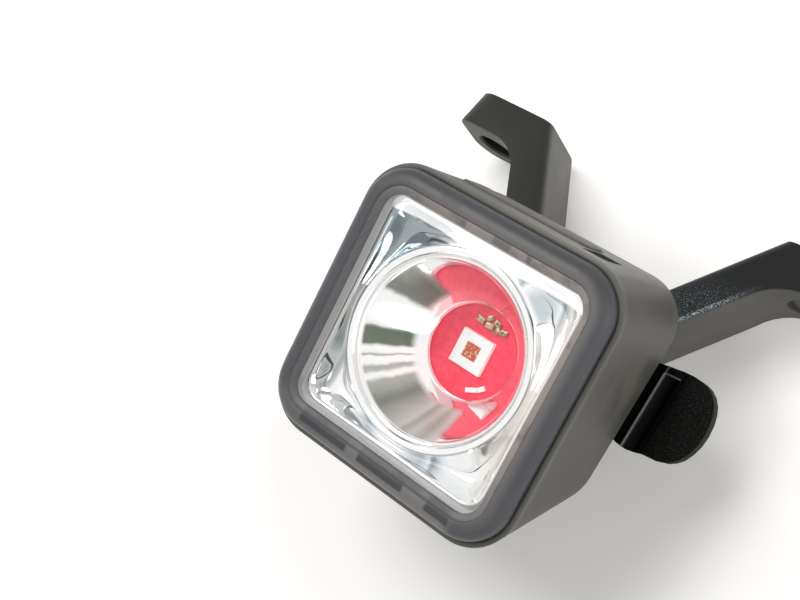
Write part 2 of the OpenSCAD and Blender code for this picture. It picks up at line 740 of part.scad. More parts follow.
// Torsion spring: one wire that comes in along the lever's back, winds round the pin and leaves behind the receiver
rings_per_turn = 8;
leg_in = 3.4;
leg_out = pin_x - receiver_w / 2 + 0.9;
coil_low = lever_z - coil_h / 2 + wire_d / 2;
function coil_point(i) =
    let (a = 90 + 360 * i / rings_per_turn)
    [pin_x + coil_r * cos(a), pin_back + coil_r * sin(a), coil_low + coil_pitch * i / rings_per_turn];
coil_last = spring_turns * rings_per_turn;
wire_path = concat([coil_point(0) + [leg_in, 0, 0]], [for (i = [0:coil_last]) coil_point(i)],
                   [coil_point(coil_last) - [leg_out, 0, 0]]);
function unit(v) = v / norm(v);
function heading(i) = unit(wire_path[min(i + 1, len(wire_path) - 1)] - wire_path[max(i - 1, 0)]);
wire_sides = 6;
function wire_ring(i) =
    let (t = heading(i), s = unit(cross([0, 0, 1], t)), w = cross(t, s))
    [for (k = [0:wire_sides - 1]) wire_path[i]
        + wire_d / 2 * (cos(360 * k / wire_sides) * s + sin(360 * k / wire_sides) * w)];
wire_rings = [for (i = [0:len(wire_path) - 1]) wire_ring(i)];
wire_points = [for (r = wire_rings, p = r) p];
wire_faces = concat(
    [for (i = [0:len(wire_path) - 2], k = [0:wire_sides - 1], half = [0, 1])
        let (a = i * wire_sides + k, b = i * wire_sides + (k + 1) % wire_sides)
        half == 0 ? [a, b, b + wire_sides] : [a, b + wire_sides, a + wire_sides]],
    [for (k = [1:wire_sides - 2]) [0, k + 1, k]],
    [for (k = [1:wire_sides - 2]) [for (j = [0, k, k + 1]) (len(wire_path) - 1) * wire_sides + j]]);
turn_gaps = [for (i = [0:coil_last], j = [0:coil_last]) if (j - i >= 6) norm(coil_point(i) - coil_point(j))];
echo(spring_gap = min(turn_gaps) - wire_d);

module lever_spring() color([0.7, 0.7, 0.72]) lamp() on_rear()
    polyhedron(points = wire_points, faces = wire_faces, convexity = 6);

housing();
bezel();
front_lens();
lens_gasket();
reflector();
led_board();
led_package();
led_die();
board_components();
indicator_led();
indicator_window();
tact_switch();
switch_plunger();
power_button();
battery();
battery_pad();
battery_leads();
charging_port();
port_tongue();
port_cover();
rear_cover();
cover_seal();
cover_screws();
bracket();
release_lever();
lever_pin();
lever_spring();
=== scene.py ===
from math import atan, cos, pi, radians, sin, sqrt, tan

import bpy
from mathutils import Matrix, Vector
from mathutils.kdtree import KDTree


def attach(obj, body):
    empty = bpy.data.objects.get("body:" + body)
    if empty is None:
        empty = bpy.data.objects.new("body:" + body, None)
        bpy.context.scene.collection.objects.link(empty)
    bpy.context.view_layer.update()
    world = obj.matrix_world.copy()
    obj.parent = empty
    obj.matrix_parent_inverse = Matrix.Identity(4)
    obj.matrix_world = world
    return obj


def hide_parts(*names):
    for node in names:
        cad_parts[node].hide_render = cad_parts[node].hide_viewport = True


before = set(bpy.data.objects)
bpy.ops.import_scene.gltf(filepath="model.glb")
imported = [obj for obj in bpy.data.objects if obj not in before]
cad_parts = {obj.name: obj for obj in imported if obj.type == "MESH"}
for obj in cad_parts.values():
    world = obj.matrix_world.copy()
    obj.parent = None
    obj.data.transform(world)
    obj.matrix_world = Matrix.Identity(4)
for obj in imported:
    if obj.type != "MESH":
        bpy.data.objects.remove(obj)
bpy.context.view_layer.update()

# Saddle bracket. One moulding in glass-filled nylon: two splayed arms with a bolt pad each, a column that
# joins them, and in front of it the receiver in which the lamp's foot slides. Two bolts hold the pads.
mm = 0.001
pad_tilt = radians(14)
arm_lean = radians(17)
rear_lean = radians(7.6)
body_d, saddle_reach, saddle_drop = 17.3, 39.5, 22.1


def pads(x, t, u):
    """A point given across, back along and up out of the tilted pads."""
    c, s = cos(pad_tilt), sin(pad_tilt)
    return Vector((x, t * c + u * s, -t * s + u * c)) * mm


def rear(x, n, v):
    """A point given across, out of and up along the lamp's leaning rear face."""
    c, s = cos(rear_lean), sin(rear_lean)
    return Vector((x, body_d + n * c + v * s - saddle_reach, -n * s + v * c - saddle_drop)) * mm


def rear_step(x, n, v):
    """A move given in the same way."""
    return rear(x, n, v) - rear(0, 0, 0)


def lamp(x, y, z):
    """A point given across, behind the bezel's front and above the lamp's axis."""
    return Vector((x, y - saddle_reach, z - saddle_drop)) * mm


def enter(mode):
    bpy.ops.object.mode_set(mode=mode)


def select_none():
    if bpy.context.mode != "OBJECT":
        enter("OBJECT")
    bpy.ops.object.select_all(action="DESELECT")


def select_only(piece):
    select_none()
    piece.select_set(True)
    bpy.context.view_layer.objects.active = piece


def choose(piece, kind, test):
    """Goes into edit mode with the faces or edges selected that pass the test."""
    select_only(piece)
    enter("EDIT")
    bpy.ops.mesh.select_mode(type=kind)
    bpy.ops.mesh.select_all(action="DESELECT")
    enter("OBJECT")
    mesh = piece.data
    if kind == "FACE":
        for face in mesh.polygons:
            face.select = test(face.center, face.normal)
    else:
        for edge in mesh.edges:
            a, b = (mesh.vertices[i].co for i in edge.vertices)
            edge.select = test(a, b)
    enter("EDIT")


def new_piece(name):
    """The object that has just been added, under a name."""
    piece = bpy.context.object
    piece.name = piece.data.name = name
    return piece


def plate(name, ring):
    """A flat face through the points of a ring."""
    select_none()
    bpy.ops.mesh.primitive_circle_add(vertices=len(ring), radius=mm, fill_type="NGON")
    piece = new_piece(name)
    for vertex, place in zip(piece.data.vertices, ring):
        vertex.co = place
    return piece


def outward(piece):
    """Merges doubled points and turns every face outwards."""
    select_only(piece)
    enter("EDIT")
    bpy.ops.mesh.select_mode(type="VERT")
    bpy.ops.mesh.select_all(action="SELECT")
    bpy.ops.mesh.remove_doubles(threshold=0.002 * mm)
    bpy.ops.mesh.normals_make_consistent(inside=False)
    enter("OBJECT")


def edit_all(piece):
    """Goes into edit mode with everything selected."""
    select_only(piece)
    enter("EDIT")
    bpy.ops.mesh.select_all(action="SELECT")


def push(step):
    """Draws what is selected out along a vector."""
    bpy.ops.mesh.extrude_region_move(TRANSFORM_OT_translate={"value": step})


def prism(name, ring, step):
    """A solid with a flat ring for its end, drawn out along a vector."""
    piece = plate(name, ring)
    edit_all(piece)
    push(step)
    outward(piece)
    return piece


def combine(piece, tool, how="DIFFERENCE"):
    """Cuts, joins or trims a piece by another solid, which is used up."""
    select_only(piece)
    change = piece.modifiers.new("combine", "BOOLEAN")
    change.operation = how
    change.solver = "EXACT"
    change.object = tool
    bpy.ops.object.modifier_apply(modifier=change.name)
    bpy.data.objects.remove(tool, do_unlink=True)


def round_edges(width, segments):
    """Rounds the edges that are selected."""
    bpy.ops.mesh.bevel(offset=width * mm, offset_type="OFFSET", segments=segments, affect="EDGES",
                       clamp_overlap=False)


def smooth(piece, angle=38):
    select_only(piece)
    bpy.ops.object.shade_smooth_by_angle(angle=radians(angle))


def soften(piece, width, segments=3, angle=35):
    """Rounds the edges that are sharper than an angle, and smooths the shading."""
    outward(piece)
    change = piece.modifiers.new("edges", "BEVEL")
    change.width = width * mm
    change.segments = segments
    change.limit_method = "ANGLE"
    change.angle_limit = radians(angle)
    bpy.ops.object.modifier_apply(modifier=change.name)
    smooth(piece)


def bar(name, low, high, place):
    """A block between two corners, put where a frame of the part says."""
    select_none()
    bpy.ops.mesh.primitive_cube_add(size=1)
    piece = new_piece(name)
    for vertex in piece.data.vertices:
        vertex.co = place(*[a + (b - a) * (c + 0.5) for a, b, c in zip(low, high, vertex.co)])
    return piece


def rod(name, start, end, radius, sides=48, end_radius=None):
    """A round bar or cone from one point to another."""
    axis = end - start
    select_none()
    bpy.ops.mesh.primitive_cone_add(vertices=sides, radius1=radius * mm, depth=axis.length,
                                    radius2=(radius if end_radius is None else end_radius) * mm)
    piece = new_piece(name)
    aim = axis.to_track_quat("Z", "Y").to_matrix().to_4x4()
    piece.data.transform(Matrix.Translation((start + end) / 2) @ aim)
    return piece


class Tone:
    """A value in a finish. Arithmetic on it adds Math nodes."""

    def __init__(self, finish, socket):
        self.finish, self.socket = finish, socket

    def math(self, operation, *others):
        links = dict(enumerate((self, *others)))
        return self.finish.node("ShaderNodeMath", {"operation": operation}, links)

    def __add__(self, other):
        return self.math("ADD", other)

    __radd__ = __add__

    def __sub__(self, other):
        return self.math("SUBTRACT", other)

    def __rsub__(self, other):
        return self.finish.node("ShaderNodeMath", {"operation": "SUBTRACT"}, {0: other, 1: self})

    def __mul__(self, other):
        return self.math("MULTIPLY", other)

    __rmul__ = __mul__

    def __neg__(self):
        return self * -1

    def __abs__(self):
        return self.math("ABSOLUTE")


class Finish:
    """One material, built from nodes on the piece's own coordinates."""

    def __init__(self, name, **fixed):
        self.material = bpy.data.materials.new(name)
        self.material.use_nodes = True
        self.tree = self.material.node_tree
        self.shader = next(n for n in self.tree.nodes if n.type == "BSDF_PRINCIPLED")
        self.place = self.node("ShaderNodeTexCoord", out="Object")
        self.set(**fixed)

    def node(self, kind, settings=None, links=None, out=0):
        made = self.tree.nodes.new(kind)
        for key, value in (settings or {}).items():
            setattr(made, key, value)
        for key, value in (links or {}).items():
            self.feed(made.inputs[key], value)
        return Tone(self, made.outputs[out])

    def feed(self, socket, value):
        if isinstance(value, Tone):
            self.tree.links.new(value.socket, socket)
        elif socket.type == "RGBA" and len(value) == 3:
            socket.default_value = (*value, 1)
        else:
            socket.default_value = value

    def set(self, **values):
        for key, value in values.items():
            self.feed(self.shader.inputs[key.replace("_", " ")], value)

    def noise(self, size, detail=3.0, roughness=0.5, stretch=(1, 1, 1)):
        """Cloudy variation whose grains are about size millimetres across."""
        place = self.node("ShaderNodeMapping", None, {"Vector": self.place, "Scale": stretch})
        return self.node("ShaderNodeTexNoise", None, {"Vector": place, "Scale": 1 / (size * mm),
                                                      "Detail": detail, "Roughness": roughness})

    def cells(self, size):
        """Small cells about size millimetres across."""
        return self.node("ShaderNodeTexVoronoi", None, {"Vector": self.place, "Scale": 1 / (size * mm)})

    def ramp(self, value, stops):
        """Colours at given places of a value, blended between them."""
        colours = self.node("ShaderNodeValToRGB", None, {"Fac": value})
        elements = colours.socket.node.color_ramp.elements
        while len(elements) < len(stops):
            elements.new(0.5)
        for element, (position, colour) in zip(elements, stops):
            element.position = position
            element.color = (*colour, 1)
        return colours

    def span(self, value, low, high, to_low=0.0, to_high=1.0):
        """Rescales a value from one range to another, held at the ends."""
        return self.node("ShaderNodeMapRange", {"interpolation_type": "SMOOTHSTEP"},
                         {"Value": value, "From Min": low, "From Max": high,
                          "To Min": to_low, "To Max": to_high})

    def fade(self, value, low, high):
        """Falls from one to nothing over a range."""
        return self.span(value, low, high, 1.0, 0.0)

    def near(self, value, core, edge, strength=1.0):
        """A line along the place where a value is nothing."""
        return self.span(abs(value), core, edge, strength, 0.0)

    def between(self, value, start, full, fall, end):
        """Rises over one range and falls over the next."""
        return self.span(value, start, full) * self.fade(value, fall, end)

    def along(self, direction, origin=(0, 0, 0)):
        """Distance in millimetres along a direction, from a point given in metres."""
        per_mm = tuple(Vector(direction).normalized() / mm)
        shifted = self.node("ShaderNodeVectorMath", {"operation": "SUBTRACT"},
                            {0: self.place, 1: tuple(origin)})
        return self.node("ShaderNodeVectorMath", {"operation": "DOT_PRODUCT"}, {0: shifted, 1: per_mm},
                         out="Value")

    def mix(self, factor, first, second):
        links = {0: factor, 6: first, 7: second}
        return self.node("ShaderNodeMix", {"data_type": "RGBA"}, links, out=2)

    def bump(self, height, strength, depth):
        """Relief of a depth in millimetres."""
        links = {"Height": height, "Strength": strength, "Distance": depth * mm}
        return self.node("ShaderNodeBump", None, links)


def dress(piece, finish, body, node):
    """Gives a finished piece its material and its body, and hides the CAD node that it stands for."""
    piece.data.materials.clear()
    piece.data.materials.append(finish.material)
    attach(piece, body)
    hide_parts(node)


bolt_x, arm_in, arm_w, splay = 22.0, 6.7, 5.0, tan(radians(31.8))
inner_x, tip_x, pad_t, pad_front, fillet_r = bolt_x - arm_in, 26.2, 4.7, 4.8, 6.0
column_half, arm_low, fillet_steps = 7.5, -45.0, 12
leg_end = inner_x + arm_w
corner = leg_end - splay * pad_t
bend = pi / 2 - atan(splay)
run = fillet_r * tan(bend / 2)
side = [(inner_x, 0), (tip_x, 0), (tip_x, -pad_t)]
for k in range(fillet_steps + 1):
    a = pi / 2 + bend * k / fillet_steps
    side.append((corner + run + fillet_r * cos(a), -pad_t - fillet_r + fillet_r * sin(a)))
side += [(column_half, (column_half - leg_end) / splay), (column_half, arm_low)]
front_view = side + [(-x, u) for x, u in reversed(side)] + [(0, -inner_x / splay)]
blank_front, blank_depth = -40, 70
bracket = prism("saddle_bracket", [pads(x, blank_front, u) for x, u in front_view], pads(0, blank_depth, 0))
arm_depth, lug_depth, tip_r, plan_low, plan_high = 13.2, 11, 3.0, -55, 15
slab_t, lug_t = arm_depth * cos(arm_lean), lug_depth * cos(arm_lean)


def slab(x, p, q):
    """A point given across, back through and up along the leaning arms."""
    c, s = cos(arm_lean), sin(arm_lean)
    return pads(x, -pad_front + p * c + q * s, -p * s + q * c)


def arc(x, y, radius, start, steps=8, sweep=90):
    """Points of an arc, from a start and over a sweep in degrees."""
    turns = [radians(start + sweep * k / steps) for k in range(steps + 1)]
    return [(x + radius * cos(a), y + radius * sin(a)) for a in turns]


plan = arc(tip_x - tip_r, tip_r, tip_r, -90) + arc(tip_x - tip_r, lug_t - tip_r, tip_r, 0)
plan += [(leg_end, lug_t), (inner_x, slab_t)]
plan += [(-x, p) for x, p in reversed(plan)]
arm_plan = prism("arm_plan", [slab(x, p, plan_low) for x, p in plan],
                 slab(0, 0, plan_high) - slab(0, 0, plan_low))
combine(bracket, arm_plan, "INTERSECT")
receiver_low, receiver_top, lip_front, receiver_half = -8.5, 8.751, 0.6, 8.0
channel_back, receiver_back, lip_back = 4.9, 6.7, 2.3


def slice_off(piece, point, normal):
    """Cuts a solid flat and takes away the side that the normal points to."""
    edit_all(piece)
    bpy.ops.mesh.bisect(plane_co=point, plane_no=normal.normalized(), use_fill=True, clear_outer=True,
                        threshold=0.001 * mm)
    outward(piece)


slice_off(bracket, rear(0, 0, receiver_low), rear_step(0, 0, -1))
slice_off(bracket, rear(0, lip_front, 0), rear_step(0, -1, 0))
back_round, front_round, close = 2.4, 1.2, 0.02


def on_inner_face(place, p):
    """Whether a point is on an arm's inner face, at a depth through the arm."""
    away = place / mm
    c, s = cos(pad_tilt), sin(pad_tilt)
    t, u = away.y * c - away.z * s, away.y * s + away.z * c
    depth = (t + pad_front) * cos(arm_lean) - u * sin(arm_lean)
    return abs(depth - p) < close and abs(abs(away.x) - inner_x - splay * u) < close


for depth, width in ((slab_t, back_round), (0, front_round)):
    choose(bracket, "EDGE", lambda a, b: on_inner_face(a, depth) and on_inner_face(b, depth))
    round_edges(width, 6)
soften(bracket, 0.7, 4)
receiver = bar("receiver", (-receiver_half, lip_front, receiver_low),
               (receiver_half, receiver_back, receiver_top), rear)
soften(receiver, 0.5, 3)
combine(bracket, receiver, "UNION")
pin_x, pin_back, hub_r, ear_t, ear_root, ear_gap = 10.4, 4.0, 2.0, 1.5, 6.0, 0.2
lever_h, lever_up, nose_t, nose_gap, nose_up = 8.8, 2.1, 2.0, 0.45, 0.6
lever_v = lever_up / cos(rear_lean) + pin_back * tan(rear_lean)
nose_v = lever_v - lever_h / 2 + nose_up
ear_plan = [(ear_root, pin_back - hub_r), *arc(pin_x, pin_back, hub_r, -90, 12, 180),
            (ear_root, pin_back + hub_r)]
for low in (lever_v - lever_h / 2 - ear_gap - ear_t, lever_v + lever_h / 2 + ear_gap):
    ear = prism("ear", [rear(x, n, low) for x, n in ear_plan], rear_step(0, 0, ear_t))
    soften(ear, 0.2, 2)
    combine(bracket, ear, "UNION")
slot_half, foot_half, channel_floor, channel_top, cut_front = 3.2, 5.3, -6.5, 30, -1
window_in, window_out = 2.9, 12
leg_in, leg_out, leg_front, leg_back, leg_half = 6.7, 9.7, 5.1, 6.5, 1.7
stem_slot = ((-slot_half, cut_front, channel_floor), (slot_half, channel_back, channel_top))
foot_slot = ((-foot_half, lip_back, channel_floor), (foot_half, channel_back, channel_top))
nose_window = ((window_in, cut_front, nose_v - nose_gap),
               (window_out, channel_back, nose_v + nose_t + nose_gap))
leg_pocket = ((leg_in, leg_front, lever_v - leg_half), (leg_out, leg_back, lever_v + leg_half))
for low, high in (stem_slot, foot_slot, nose_window, leg_pocket):
    combine(bracket, bar("channel", low, high, rear))
pin_hole_r, pin_low, pin_top = 1.01, -12, 14


def on_pin(v):
    """A point of the lever pin's axis."""
    return rear(pin_x, pin_back, v)


combine(bracket, rod("pin_hole", on_pin(pin_low), on_pin(pin_top), pin_hole_r))
hole_r, spot_r, neck_r, mouth_r, under_pads, over_pads = 2.4, 3.9, 2.38, 2.75, -12, 3
bolt_cuts = ((under_pads, -pad_t + 0.03, spot_r, spot_r), (under_pads, over_pads, hole_r, hole_r),
             (-0.3, 0.02, neck_r, mouth_r), (-pad_t + 0.35, -pad_t - 0.02, neck_r, mouth_r))
for x in (-bolt_x, bolt_x):
    for start, end, radius, end_radius in bolt_cuts:
        cut = rod("bolt_hole", pads(x, 0, start), pads(x, 0, end), radius, 56, end_radius)
        combine(bracket, cut)
outward(bracket)
smooth(bracket, 32)
nylon = Finish("grained_nylon", Specular_IOR_Level=0.2)
fibre = nylon.noise(0.16, 4)
spark = nylon.noise(0.11, 2, 0.7)
cloud = nylon.noise(7, 3)
up_arm = nylon.along(slab(0, 0, 1) - slab(0, 0, 0), slab(0, 0, 0))
into_arm = nylon.along(slab(0, 1, 0) - slab(0, 0, 0), slab(0, 0, 0))
across_arms = nylon.along((1, 0, 0))
above_pads = nylon.along(pads(0, 0, 1))
on_front = nylon.fade(into_arm, 0.1, 0.9)
grained = nylon.fade(up_arm, -12.5, -6.0) * on_front * nylon.span(across_arms, 4.0, 6.0)
# Painted light: the left arm is painted lighter and the right arm darker, standing in for light from the
# upper left and shade on the right.
left_lit_right_shaded = nylon.span(across_arms, -12.0, 12.0)
shade = nylon.mix(left_lit_right_shaded, nylon.mix(cloud, (0.02, 0.0205, 0.019), (0.036, 0.0362, 0.0335)),
                  nylon.mix(cloud, (0.003, 0.0037, 0.0037), (0.009, 0.0098, 0.0098)))
splay_cos = cos(atan(splay))
lean_out = (abs(across_arms) - above_pads * splay) * splay_cos
to_inner = lean_out - inner_x * splay_cos
to_outer = lean_out - leg_end * splay_cos
# Painted light: the arm faces turned towards the right-hand light and the undersides of the pads are painted
# a lighter grey.
under_pad = nylon.fade(above_pads, -pad_t - 0.15, -pad_t + 0.35)
lit_flank = nylon.fade(to_inner, 0.06, 0.5) + nylon.span(to_outer, -0.5, -0.06) * under_pad
lit_flank_tone = nylon.mix(cloud, (0.105, 0.102, 0.092), (0.135, 0.131, 0.118))
shade = nylon.mix(lit_flank * (1 - on_front), shade, lit_flank_tone)
# Painted highlight: a pale streak along the lower front edge of the grained arm.
painted_edge_highlight = nylon.near(to_outer + 0.25, 0.05, 0.4) * nylon.span(fibre, 0.42, 0.6)
shade = nylon.mix(grained * painted_edge_highlight * 0.8, shade, (0.55, 0.58, 0.6))
low_edge = nylon.span(to_outer, -4.5, -2.4)
fleck = grained * nylon.span(spark, 0.55, 0.66) * (low_edge * 0.45 + 0.05)
nylon.set(Base_Color=nylon.mix(fleck, shade, (0.4, 0.49, 0.55)),
          Roughness=nylon.span(cloud, 0.3, 0.7, 0.42, 0.52) + grained * 0.1,
          Normal=nylon.bump(fibre * 0.25 + spark * grained, 0.6, 0.09))
dress(bracket, nylon, "bracket", "bracket")

# Lever pin and its torsion spring. Both are plain drawn steel: the pin is pressed through the bracket's two
# ears, and the spring is wound round it with one leg behind the lever and one behind the receiver.


def clouded(name, cloud, dark, light, rough, relief=None, grain=None, **fixed):
    """A finish whose colour and gloss drift with a cloudy pattern, with a relief of it or of a grain."""
    finish = Finish(name, **fixed)
    pattern = finish.noise(*cloud)
    finish.set(Base_Color=finish.mix(pattern, dark, light), Roughness=finish.span(pattern, 0.3, 0.7, *rough))
    if relief:
        finish.set(Normal=finish.bump(finish.noise(*grain) if grain else pattern, *relief))
    return finish


def finish_nodes(finish, *names):
    """Gives CAD nodes that are shown as they are a better material."""
    for name in names:
        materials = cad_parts[name].data.materials
        materials.clear()
        materials.append(finish.material)


steel = clouded("drawn_steel", (0.6, 3, 0.6, (6, 6, 1)), (0.42, 0.42, 0.43), (0.6, 0.6, 0.61), (0.22, 0.38),
                (0.15, 0.02), Metallic=1.0)
finish_nodes(steel, "lever_pin", "lever_spring")

# Release lever. Black acetal, moulded in one piece: a hub on the pin, a nose that catches the lamp's foot,
# and a thumb tab with a ridge, a smooth hollow and a fine-grained round pad.
thumb_r, half_t, ridge_x, tab_end, cut_half = lever_h / 2, 1.1, 13.85, 22.05, 8
face_n, back_n = pin_back - half_t, pin_back + half_t
ridge_profile = ((-0.1, 0), (0.16, -0.08), (0.34, -0.42), (0.47, -0.54), (0.63, -0.52), (0.86, -0.24),
                 (1.25, 0.05), (1.6, 0.12), (1.95, -0.02), (2.15, -0.14), (2.3, -0.08), (2.45, -0.24),
                 (2.9, -0.4), (3.9, -0.52), (5.0, -0.52), (6.4, -0.38), (8.2, -0.15))
tab_profile = [(pin_x, back_n), (pin_x, face_n)]
tab_profile += [(ridge_x + x, face_n + n) for x, n in ridge_profile]
tab_profile += [(tab_end, back_n)]
tab = prism("release_lever_tab", [rear(x, n, lever_v - cut_half) for x, n in tab_profile],
            rear_step(0, 0, 2 * cut_half))
tab_ring = [(pin_x, -thumb_r), (13.1, -thumb_r), (13.6, -4.55), (14.9, -4.6), (15.7, -4.42), (16.5, -4.15),
            (17.3, -4.05), (18.1, -3.95), (18.8, -3.7), (19.4, -3.25), (19.95, -2.6), (20.35, -1.7),
            (20.62, -0.6), (20.7, 0.6), (20.58, 1.8), (20.32, 2.8), (19.95, 3.6), (19.4, 4.25),
            (18.75, 4.68), (18.0, 4.9), (17.0, 4.98), (15.8, 4.9), (14.6, 4.68), (13.6, 4.5),
            (13.1, thumb_r), (pin_x, thumb_r)]
tab_plan = prism("tab_plan", [rear(x, -4, lever_v + v) for x, v in tab_ring], rear_step(0, 20, 0))
combine(tab, tab_plan, "INTERSECT")
soften(tab, 0.45, 4, 50)
hollow_top, wall_front, wall_deep = 3.75, 0.5, 1.3
wall_in, wall_out = ridge_x + 0.4, ridge_x + 2.35
wall_ring = [(wall_in, hollow_top), (wall_out, hollow_top + 0.15), (wall_out, 4.72), (wall_in, 4.46)]
hollow_wall = prism("hollow_wall", [rear(x, face_n - wall_front, lever_v + v) for x, v in wall_ring],
                    rear_step(0, wall_deep, 0))
soften(hollow_wall, 0.14, 2, 50)
combine(tab, hollow_wall, "UNION")
hub = rod("hub", on_pin(lever_v - thumb_r), on_pin(lever_v + thumb_r), hub_r)
soften(hub, 0.15, 2, 50)
combine(tab, hub, "UNION")
nose_ring = [(4.1, 1.55), (8.7, 2.5), (pin_x, 2.3), (pin_x, 4.6), (8.5, 4.2), (5.6, 2.45), (4.1, 2.45)]
nose = prism("nose", [rear(x, n, nose_v) for x, n in nose_ring], rear_step(0, 0, nose_t))
soften(nose, 0.12, 2, 40)
combine(tab, nose, "UNION")
bore_r, coil_room, coil_gap = 1.05, 3.98, 0.4
combine(tab, rod("bore", on_pin(-20), on_pin(20), bore_r))
combine(tab, rod("coil_room", on_pin(lever_v - coil_room / 2), on_pin(lever_v + coil_room / 2),
                 hub_r + coil_gap))
leg_v, groove_deep, groove_half, groove_long = lever_v - 1.44, 0.62, 0.45, 4.0
combine(tab, bar("leg_groove", (pin_x, back_n - groove_deep, leg_v - groove_half),
                 (pin_x + groove_long, back_n + 2, leg_v + groove_half), rear))
outward(tab)
smooth(tab, 36)
acetal = Finish("black_acetal", Specular_IOR_Level=0.03, Coat_Roughness=0.12)
grit = acetal.cells(0.22)
haze = acetal.noise(2.5, 3)
along_tab = acetal.along((1, 0, 0))
from_ridge = along_tab - (ridge_x + 0.5)
gritty = acetal.span(along_tab, wall_out, ridge_x + 2.7)
glint = acetal.span(acetal.noise(0.09, 1), 0.58, 0.72) * gritty
up_tab = acetal.along(rear_step(0, 0, 1), rear(0, 0, lever_v))
proud = acetal.span(acetal.along(rear_step(0, -1, 0), rear(0, face_n, 0)), 0.3, 0.42)
# Painted highlights: a pale line along the ridge's crest and a fainter one along the end wall of the hollow.
crest_highlight = acetal.near(from_ridge, 0.05, 0.18) * acetal.fade(up_tab, hollow_top, hollow_top + 0.2)
past_wall = up_tab - from_ridge * 0.08 - (hollow_top + 0.1)
wall_edge_highlight = acetal.near(past_wall, 0.04, 0.14) * proud * acetal.between(from_ridge, -0.1, 0.1, 1.6, 1.8)
crest_highlight = crest_highlight.math("MAXIMUM", wall_edge_highlight * 0.6)
# Painted shade: the hollow behind the ridge is painted darker than the rest of the tab.
hollow = acetal.between(from_ridge, 0.18, 0.4, 1.6, 1.85)
jet = acetal.mix(haze, (0.0075, 0.0075, 0.0073), (0.0125, 0.0122, 0.0116))
jet = acetal.mix(hollow * 0.8, jet, (0.003, 0.0035, 0.0035))
jet = acetal.mix(crest_highlight * 0.85, jet, (0.38, 0.385, 0.375))
acetal.set(Base_Color=acetal.mix(glint, jet, (0.075, 0.068, 0.06)),
           Roughness=acetal.span(haze, 0.3, 0.7, 0.3, 0.4) + gritty * 0.2,
           Coat_Weight=acetal.near(from_ridge, 0.1, 0.26, 0.8),
           Normal=acetal.bump(grit * gritty + haze * 0.05, 0.5, 0.07))
dress(tab, acetal, "lever", "release_lever")

# Rear cover. A flat moulded plate let into the back of the housing, with the T-shaped foot that slides in the
# receiver. Four socket screws hold it down on a thin rubber seal.
cover_plastic = clouded("cover_plastic", (6, 3), (0.085, 0.083, 0.078), (0.11, 0.107, 0.1), (0.5, 0.6),
                        (0.35, 0.05), (0.18, 3), Specular_IOR_Level=0.4)


def copy_node(name, node):
    """A copy of a CAD node's mesh, merged, as a piece of its own."""
    piece = bpy.data.objects.new(name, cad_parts[node].data.copy())
    piece.data.name = name
    bpy.context.collection.objects.link(piece)
    outward(piece)
    edit_all(piece)
    bpy.ops.mesh.dissolve_limited(angle_limit=radians(0.5))
    enter("OBJECT")
    return piece


rear_cover = copy_node("rear_cover_plate", "rear_cover")
soften(rear_cover, 0.15, 2, 40)
outward(rear_cover)
dress(rear_cover, cover_plastic, "lamp", "rear_cover")
rubber = clouded("black_rubber", (1.5, 4), (0.016, 0.016, 0.016), (0.03, 0.03, 0.029), (0.6, 0.75),
                 (0.3, 0.03), (0.2,), Specular_IOR_Level=0.3)
finish_nodes(rubber, "cover_seal")
finish_nodes(steel, "cover_screws")

# Battery. A flat pouch cell in aluminium laminate, stuck to the inside of the cover by a foam pad, with two
# short insulated leads to the board.
foil = clouded("pouch_foil", (2.2, 4, 0.55), (0.5, 0.52, 0.54), (0.68, 0.7, 0.72), (0.3, 0.45), (0.3, 0.1),
               Metallic=0.9)
finish_nodes(foil, "battery")
foam = Finish("foam_tape", Roughness=0.9)
bubble = foam.cells(0.3)
foam.set(Base_Color=foam.mix(bubble, (0.05, 0.05, 0.055), (0.085, 0.085, 0.09)),
         Normal=foam.bump(bubble, 0.5, 0.1))
finish_nodes(foam, "battery_pad")
wire_cover = clouded("wire_cover", (1.0, 2), (0.4, 0.02, 0.02), (0.55, 0.04, 0.035), (0.35, 0.5))
finish_nodes(wire_cover, "battery_leads")

# Housing. A square moulded box with round long edges, an underside that rises to the rear and a leaning back.
# Its front rim stands round the bezel, and it has wells for the button, the indicator and the port cover.
body_half, corner_r, rim_front, block_low, block_back = 14.0, 5.0, 1.9, -18, 22
belly_rise, belly_start = radians(12), 2.2
housing = bar("lamp_housing", (-body_half, rim_front, block_low), (body_half, block_back, body_half), lamp)
slice_off(housing, lamp(0, belly_start, -body_half), Vector((0, sin(belly_rise), -cos(belly_rise))))
slice_off(housing, rear(0, 0, 0), rear_step(0, 1, 0))
side_x, long_edge = (body_half - 0.1) * mm, 8 * mm
choose(housing, "EDGE", lambda a, b: abs(a.x) > side_x and a.x * b.x > 0 and abs(a.y - b.y) > long_edge)
round_edges(corner_r, 14)


def choose_front(piece, y):
    """Selects the faces that look forward, at a depth behind the bezel's front."""
    level = lamp(0, y, 0).y
    choose(piece, "FACE", lambda c, n: n.y < -0.99 and abs(c.y - level) < 0.02 * mm)


def step_in(*steps):
    """Steps inwards from the selected faces, each time by a width and a rise."""
    for width, rise in steps:
        bpy.ops.mesh.inset(thickness=width * mm, depth=rise * mm)


def join_rims(piece):
    """Closes a shell by a band of faces between its two open rims."""
    bpy.ops.mesh.select_mode(type="EDGE")
    bpy.ops.mesh.select_all(action="DESELECT")
    bpy.ops.mesh.select_non_manifold(extend=False, use_wire=False, use_boundary=True)
    bpy.ops.mesh.bridge_edge_loops()
    outward(piece)


